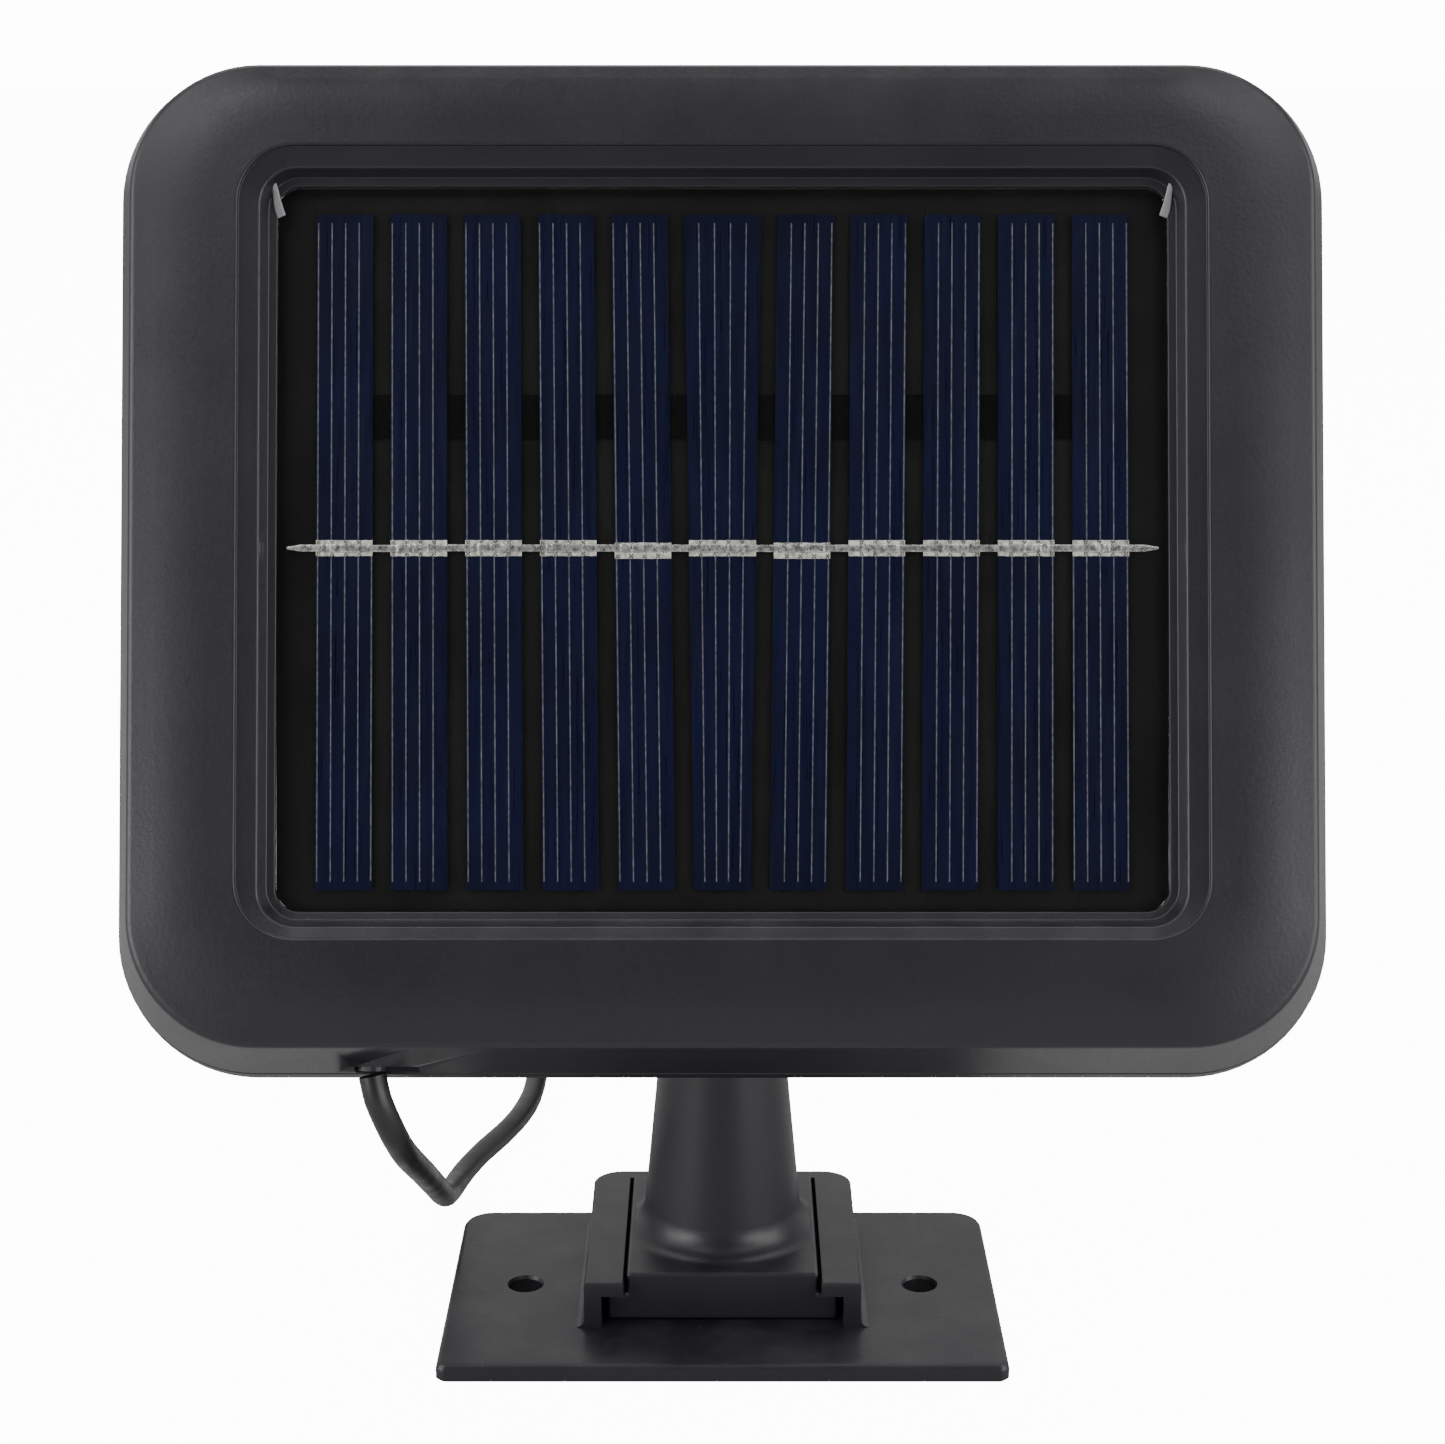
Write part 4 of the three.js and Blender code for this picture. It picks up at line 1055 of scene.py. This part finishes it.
def make_ribbon():
    """Tinned ribbon over all the cells: flat between them, buried in solder on the pads."""
    rings = []
    half = 50.2
    count = 900
    middles = [sum(cell_edges(i, RIBBON_MIDDLE)) / 2 for i in range(CELL_COUNT)]
    for i in range(count + 1):
        x = -half + 2 * half * i / count
        near = min(range(CELL_COUNT), key=lambda k: abs(x - middles[k]))
        left, right = cell_edges(near, RIBBON_MIDDLE)
        inset = 1.35 if near != 5 else 0.35
        low_end = left + (inset if near > 5 else 0.5)
        high_end = right - (inset if near < 5 else 0.5)
        wet = min(max((x - low_end) / 0.5, 0), 1) * min(max((high_end - x) / 0.5, 0), 1)
        wet = wet * wet * (3 - 2 * wet)
        taper = min((half - abs(x)) / 1.6, 1)
        width = 0.41 * (0.35 + 0.65 * taper) + wet * (0.13 + 0.09 * noise.noise((x * 1.3, 4.1, 0)))
        lump = wet * (0.055 + 0.07 * noise.noise((x * 1.1, 0.7, 0)) + 0.045 * noise.noise((x * 3.3, 2.2, 0)))
        top = 0.15 + max(lump, -0.02) + 0.008 * noise.noise((x * 0.6, 9.0, 0))
        sway = 0.05 * noise.noise((x * 0.12, 6.6, 0))
        ring = []
        for k in range(16):
            angle = 2 * math.pi * k / 16
            c, s = math.cos(angle), math.sin(angle)
            y = width * math.copysign(abs(c) ** 0.6, c)
            z = 0.06 + (top - 0.06) * max(s, 0) ** 0.7 if s > 0 else 0.06
            if wet and s > 0:
                z += wet * 0.05 * noise.noise((x * 3.1, y * 5.0, 1.7))
            ring.append((x, RIBBON_MIDDLE + sway + y, min(z, 0.29)))
        rings.append(ring)
    finished("tinned_ribbon", loft(rings), "head", SOLDER, ["tab_ribbon"], HEAD, sharp=70)


def make_resin():
    """The clear pour over the cells, climbing a little up the recess wall at its edge."""
    def key(shape, z, offset):
        right, bottom, top, radius = shape
        return (right + offset, bottom - offset, top + offset, max(radius + offset, 0.4), z)

    climb = [(-14, 0.7), (-5, 0.7), (-1.6, 0.702), (-1.0, 0.715), (-0.6, 0.745), (-0.3, 0.8),
             (-0.12, 0.86), (-0.05, 0.9)]
    sections = [key(WINDOW, 0.32, -14), key(WINDOW, 0.32, -0.05)]
    sections += [key(WINDOW, z, offset) for offset, z in reversed(climb)]
    rings = [[(x, y, s[4]) for x, y in rounded(s, steps=14)] for s in sections]
    return finished("clear_resin", loft(rings), "head", RESIN, ["panel_resin"], HEAD, sharp=70)


def make_painted_corner_highlights():
    """Painted highlight: a light grey strip in each upper corner of the window, over the lip and the resin,
    standing in for the glint on the lip's corner.
    """
    spine = [(51.5, 42.2, 2.2, 0.24), (51.42, 41.7, 1.74, 0.3), (51.32, 41.0, 1.62, 0.36),
             (51.18, 40.2, 1.56, 0.42), (50.98, 39.4, 1.46, 0.46), (50.72, 38.6, 1.3, 0.46)]
    solids = []
    for side in (-1, 1):
        rings = []
        for x, y, z, half in spine:
            rings.append([(side * (x + half * math.cos(a)), y - 0.2 * math.cos(a), z + 0.1 * math.sin(a))
                          for a in (2 * math.pi * k / 12 for k in range(12))])
        solids.append(loft(rings))
    finished("painted_corner_highlights", together(*solids), "head", PAINTED_CORNER_HIGHLIGHT, place=HEAD, sharp=50)


# ---------------------------------------------------------------- fasteners
def cross_screw(shank_r, head_r, head_height, length):
    """Pan-head screw with a cross recess, a thread and a blunt point; head below z = 0."""
    crown = soft_profile([(0, -head_height), (head_r * 0.7, -head_height), (head_r, -head_height * 0.45),
                          (head_r, 0), (shank_r, 0)], [head_r * 0.3, head_r * 0.18, 0.08], 4)
    profile = crown
    pitch, z = shank_r * 0.62, 0.5
    while z + pitch < length - shank_r:
        profile += [(shank_r * 0.8, z), (shank_r, z + pitch * 0.5), (shank_r * 0.8, z + pitch * 0.98)]
        z += pitch
    profile += [(shank_r * 0.75, length - shank_r * 0.7), (0.0, length)]
    arm = head_r * 0.52
    wing = rounded_loft([(arm, -head_r * 0.13, head_r * 0.13, 0.05, -head_height - 0.3, 0),
                         (arm * 0.55, -head_r * 0.08, head_r * 0.08, 0.05, -head_height * 0.3, 0)],
                        steps=2)
    body = carved(lathe(profile, 36), [wing, moved(wing, turn(90, "Z"))])
    return body


def place_screws(name, screw, places, body, stands_for, place=HEAD):
    meshes = []
    for matrix in places:
        one = screw.copy()
        one.transform(matrix)
        meshes.append(one)
    return finished(name, merged(meshes, name), body, STEEL, stands_for, place)


def make_fasteners():
    x, top, bottom = CORNER_SCREW
    corners = [(-x, bottom), (x, bottom), (-x, top), (x, top)]
    cover = cross_screw(1.25, 2.6, 1.8, 12)
    place_screws("cover_screws", cover, [shift(*p, SCREW_SEAT) @ turn(23 + 31 * i, "Z")
                                         for i, p in enumerate(corners)],
                 "head", [f"cover_screw_{i + 1}" for i in range(4)])
    swivel = cross_screw(2.0, 3.9, 2.4, 48.3 + 4.2 - (POST_TOP - 4 - 0.3 - 0.8 - 0.1))
    place_screws("swivel_screw_turned", swivel, [shift(0, POST_Y, POST_TOP - 4 - 0.3 - 0.8 - 0.1)],
                 "knuckle", ["swivel_screw"], STANDING)
    repaint(ZINC, "swivel_washer")
    repaint(STEEL, "clamp_screw_1", "clamp_screw_2")


def make_pivot_hardware():
    """Hexagon bolt with rolled thread, nut and two washers on the tilt axis."""
    axis = HEAD @ shift(0, PIVOT_V, PIVOT_N) @ turn(90, "Y")
    seat = EAR_OUTER + 0.2 + 0.8

    def hexagon(radius, low, high, crown_low, crown_high):
        """A hexagon with its corners turned down at the ends that have a crown."""
        prism = loft([[(radius * math.cos(math.radians(60 * i)), radius * math.sin(math.radians(60 * i)), level)
                       for i in range(6)] for level in (low, high)])
        mesh = as_mesh(prism)
        flat = radius * 0.87
        cone = lathe([(0, low - 1), (flat if crown_low else radius + 1, low - 1 if not crown_low else low),
                      (radius + 0.02, low + 0.45 if crown_low else low - 1),
                      (radius + 0.02, high - 0.45 if crown_high else high + 1),
                      (flat if crown_high else radius + 1, high if crown_high else high + 1),
                      (0, high + 1)], 48)

        def common(passing):
            helper = bpy.data.objects.new("cone", as_mesh(cone))
            bpy.context.collection.objects.link(helper)
            made = passing.modifiers.new("turned", "BOOLEAN")
            made.operation, made.solver, made.object = "INTERSECT", "EXACT", helper
            return [helper]
        return settled(mesh, common)

    thread = [(0.0, -seat - 4.8), (1.9, -seat - 4.8), (2.1, -seat - 4.6)]
    z_now = -seat - 4.5
    while z_now < seat - 8:
        thread += [(2.12, z_now), (2.48, z_now + 0.3), (2.48, z_now + 0.42), (2.12, z_now + 0.72)]
        z_now += 0.8
    thread += [(2.48, seat - 7), (2.48, seat + 0.6), (0.0, seat + 0.6)]
    head = hexagon(4.4, seat, seat + 3, False, True)
    bolt = merged([as_mesh(lathe(thread, 36)), head], "bolt")
    finished("pivot_bolt_turned", bolt, "head", STEEL, ["pivot_bolt"], axis, sharp=25)
    nut = hexagon(4.5, -seat - 3.6, -seat, True, True)
    finished("pivot_nut_turned", nut, "head", ZINC, ["pivot_nut"], axis, sharp=25)
    repaint(ZINC, "pivot_washer_right", "pivot_washer_left")


# ---------------------------------------------------------------- bracket
def plate_outline(inset):
    """Large corners at the back, small ones at the front."""
    right, edge = 36 - inset, 22 - inset
    points = []
    for x, y, r, start in ((right, edge, 4 - inset, 0), (-right, edge, 4 - inset, 90),
                           (-right, -edge, 1.3 - inset / 2, 180), (right, -edge, 1.3 - inset / 2, 270)):
        middle = (x - math.copysign(r, x), y - math.copysign(r, y))
        for i in range(9):
            angle = math.radians(start + 90 * i / 8)
            points.append((middle[0] + r * math.cos(angle), middle[1] + r * math.sin(angle)))
    return points


def make_wall_plate():
    """Flat plate with two screw holes and a raised channel whose rails hook over the foot."""
    soft = [(0.35, 0.0), (0.0, 0.35), (0.0, 1.5), (0.1, 1.95), (0.35, 2.28), (0.8, 2.4)]
    plate = loft([[(x, y, z) for x, y in plate_outline(inset)] for inset, z in soft])
    top, half = PLATE_TOP + 6.2, 17.75

    def channel_ring(flare, z, inset=0.0):
        points = [(half + flare - inset, -12.0 + inset)]
        for start, side in ((0, 1), (90, -1)):
            for i in range(9):
                angle = math.radians(start + 90 * i / 8)
                r = 4 - inset / 2
                points.append((side * (half - 4) + math.copysign(flare + (4 - inset - r), side)
                               + r * math.cos(angle), 18 - inset / 2 + r * math.sin(angle)))
        return [(x, y, z) for x, y in points + [(-half - flare + inset, -12.0 + inset)]]

    channel = loft([channel_ring(1.0, 2.2), channel_ring(1.0, 2.42), channel_ring(0.52, 2.6),
                    channel_ring(0.2, 2.9), channel_ring(0.05, 3.25), channel_ring(0.0, 3.7),
                    channel_ring(0.0, top - 0.5), channel_ring(0.0, top - 0.22, 0.08),
                    channel_ring(0.0, top - 0.06, 0.24), channel_ring(0.0, top, 0.5)])
    inside = prism([(-15.55, -14), (15.55, -14), (15.55, 19.5), (-15.55, 19.5)], PLATE_TOP, top - 1.9)
    slot = loft([[(x, y, z) for x, y in ((-w, -14), (w, -14), (w, 19.5), (-w, 19.5))]
                 for w, z in ((12.7, PLATE_TOP + 0.01), (12.7, top - 0.2), (12.85, top + 0.05), (12.85, top + 1))])
    holes = [moved(lathe([(0, -1), (2.15, -1), (2.15, 2.0), (2.45, 2.45), (2.6, 3.0), (0, 3.0)], 40),
                   shift(x, 0, 0)) for x in (-26.1, 26.1)]
    mesh = carved(plate, [inside, slot, *holes], [channel])
    finished("wall_plate_moulded", mesh, "wall_mount", BRACKET, ["wall_plate"], sharp=30)


def make_knuckle():
    mesh = edge_rounded(copy_of("knuckle"), 0.45)
    finished("knuckle_moulded", mesh, "knuckle", BRACKET, ["knuckle"], sharp=35)


def make_neck():
    """Foot with side flanges and hollow tapered post, swept together at the root."""
    seat = PLATE_TOP + 6.8
    low = PLATE_TOP + 0.3
    shoulder = PLATE_TOP + 3.9
    foot = prism([(-14.8, low), (14.8, low), (14.8, shoulder), (12.3, shoulder), (12.3, seat),
                  (-12.3, seat), (-12.3, shoulder), (-14.8, shoulder)], -10.4, 19.2, "Y")
    foot = edge_rounded(as_mesh(foot), 0.45)
    sweep = []
    for i in range(13):
        angle = math.radians(90 * i / 12)
        sweep.append((10.2 + 3.0 * (1 - math.sin(angle)), seat + 4.2 * (1 - math.cos(angle))))
    post = [(0, seat - 1), (13.2, seat - 1), (13.2, seat - 0.02), *sweep]
    post += soft_profile([sweep[-1], (6.95, POST_TOP - 0.4), (6.5, POST_TOP), (0, POST_TOP)], [0.5, 0.4])[1:]
    points, faces = lathe(post, 96)
    points = [(min(max(x, -11.7), 11.7), y, z) for x, y, z in points]
    column = moved((points, faces), shift(0, POST_Y, 0))
    bore = lathe([(0, low - 1), (8.3, low - 1), (4.7, 44), (0, 44)], 48)
    screw = lathe([(0, 43), (2.1, 43), (2.1, 50), (0, 50)], 24)
    cuts = [moved(solid, shift(0, POST_Y, 0)) for solid in (bore, screw)]
    mesh = carved(foot, cuts, [column])
    finished("neck_moulded", mesh, "post", BRACKET, ["neck_post"], sharp=30)


def make_bracket():
    make_wall_plate()
    make_neck()
    make_knuckle()


def make_hidden_parts():
    repaint(RUBBER, "cover_gasket", "cord_grommet", "blocking_diode")
    repaint(SEALANT, "panel_sealant")
    repaint(CASING, "cable_clamp")
    repaint(BRACKET_JACKET, "lead_inner")
    repaint(SOLDER, "terminal_positive", "terminal_negative")
    repaint(WIRE_RED, "wire_positive")
    repaint(WIRE_BLACK, "wire_negative")


# ---------------------------------------------------------------- studio
ROOM = 0.085  # the dark room in front of the object
SWEEP = 0.8  # the white sweep behind it
BACKDROP = 14.0
SOFTBOXES = (
    ("left softbox", (-0.95, -0.4, 0.3), (0.6, 0.9), 8, (0, 0, 0.08)),
    ("right softbox", (0.95, -0.4, 0.3), (0.6, 0.9), 7.2, (0, 0, 0.08)),
    ("low left softbox", (-0.72, -0.7, 0.16), (0.35, 0.3), 2.6, (0, 0, 0.06)),
    ("low right softbox", (0.66, -0.76, 0.16), (0.35, 0.3), 2.3, (0, 0, 0.06)),
    ("upper left softbox", (-0.5, -0.75, 0.95), (0.35, 0.35), 2.7, (0, 0, 0.1)),
    ("upper right softbox", (0.5, -0.75, 0.95), (0.35, 0.35), 2.2, (0, 0, 0.1)),
    ("top softbox", (0.0, 0.15, 1.2), (1.4, 0.8), 10, (0, 0, 0.1)),
)


def make_studio():
    mesh = bpy.data.meshes.new("floor")
    mesh.from_pydata([(-4, -4, 0), (4, -4, 0), (4, 4, 0), (-4, 4, 0)], [], [(0, 1, 2, 3)])
    mesh.materials.append(floor_finish())
    floor = bpy.data.objects.new("floor", mesh)
    bpy.context.collection.objects.link(floor)
    world = bpy.data.worlds.new("studio")
    world.use_nodes = True
    tree = world.node_tree
    seen = tree.nodes.new("ShaderNodeLightPath").outputs["Is Camera Ray"]
    background = tree.nodes["Background"]
    background.inputs["Color"].default_value = (1, 1, 1, 1)
    sky = add(tree, "ShaderNodeTexCoord").outputs["Generated"]
    depth = add(tree, "ShaderNodeSeparateXYZ", Vector=sky).outputs["Y"]
    soft = between(tree, depth, -0.5, 0.9, ROOM, SWEEP)
    put(tree, add(tree, "ShaderNodeMix", {"data_type": "FLOAT"}, Factor=seen, A=soft, B=BACKDROP).outputs[0],
        background.inputs["Strength"])
    bpy.context.scene.world = world
    for name, place, size, power, aim in SOFTBOXES:
        data = bpy.data.lights.new(name, "AREA")
        data.shape, data.size, data.size_y, data.energy = "RECTANGLE", size[0], size[1], power
        light = bpy.data.objects.new(name, data)
        light.location = place
        light.rotation_euler = (Vector(aim) - Vector(place)).to_track_quat("-Z", "Y").to_euler()
        bpy.context.collection.objects.link(light)


BRACKET_JACKET = moulded("inner jacket", 0.014, 0.45, grain=3000.0, depth=8e-6)
make_front_frame()
make_back_cover()
make_cells()
make_fingers()
make_pads()
make_perforations()
make_ribbon()
make_resin()
# painted highlights: light grey strips in the window's upper corners
make_painted_corner_highlights()
make_fasteners()
make_pivot_hardware()
make_bracket()
make_hidden_parts()
make_studio()
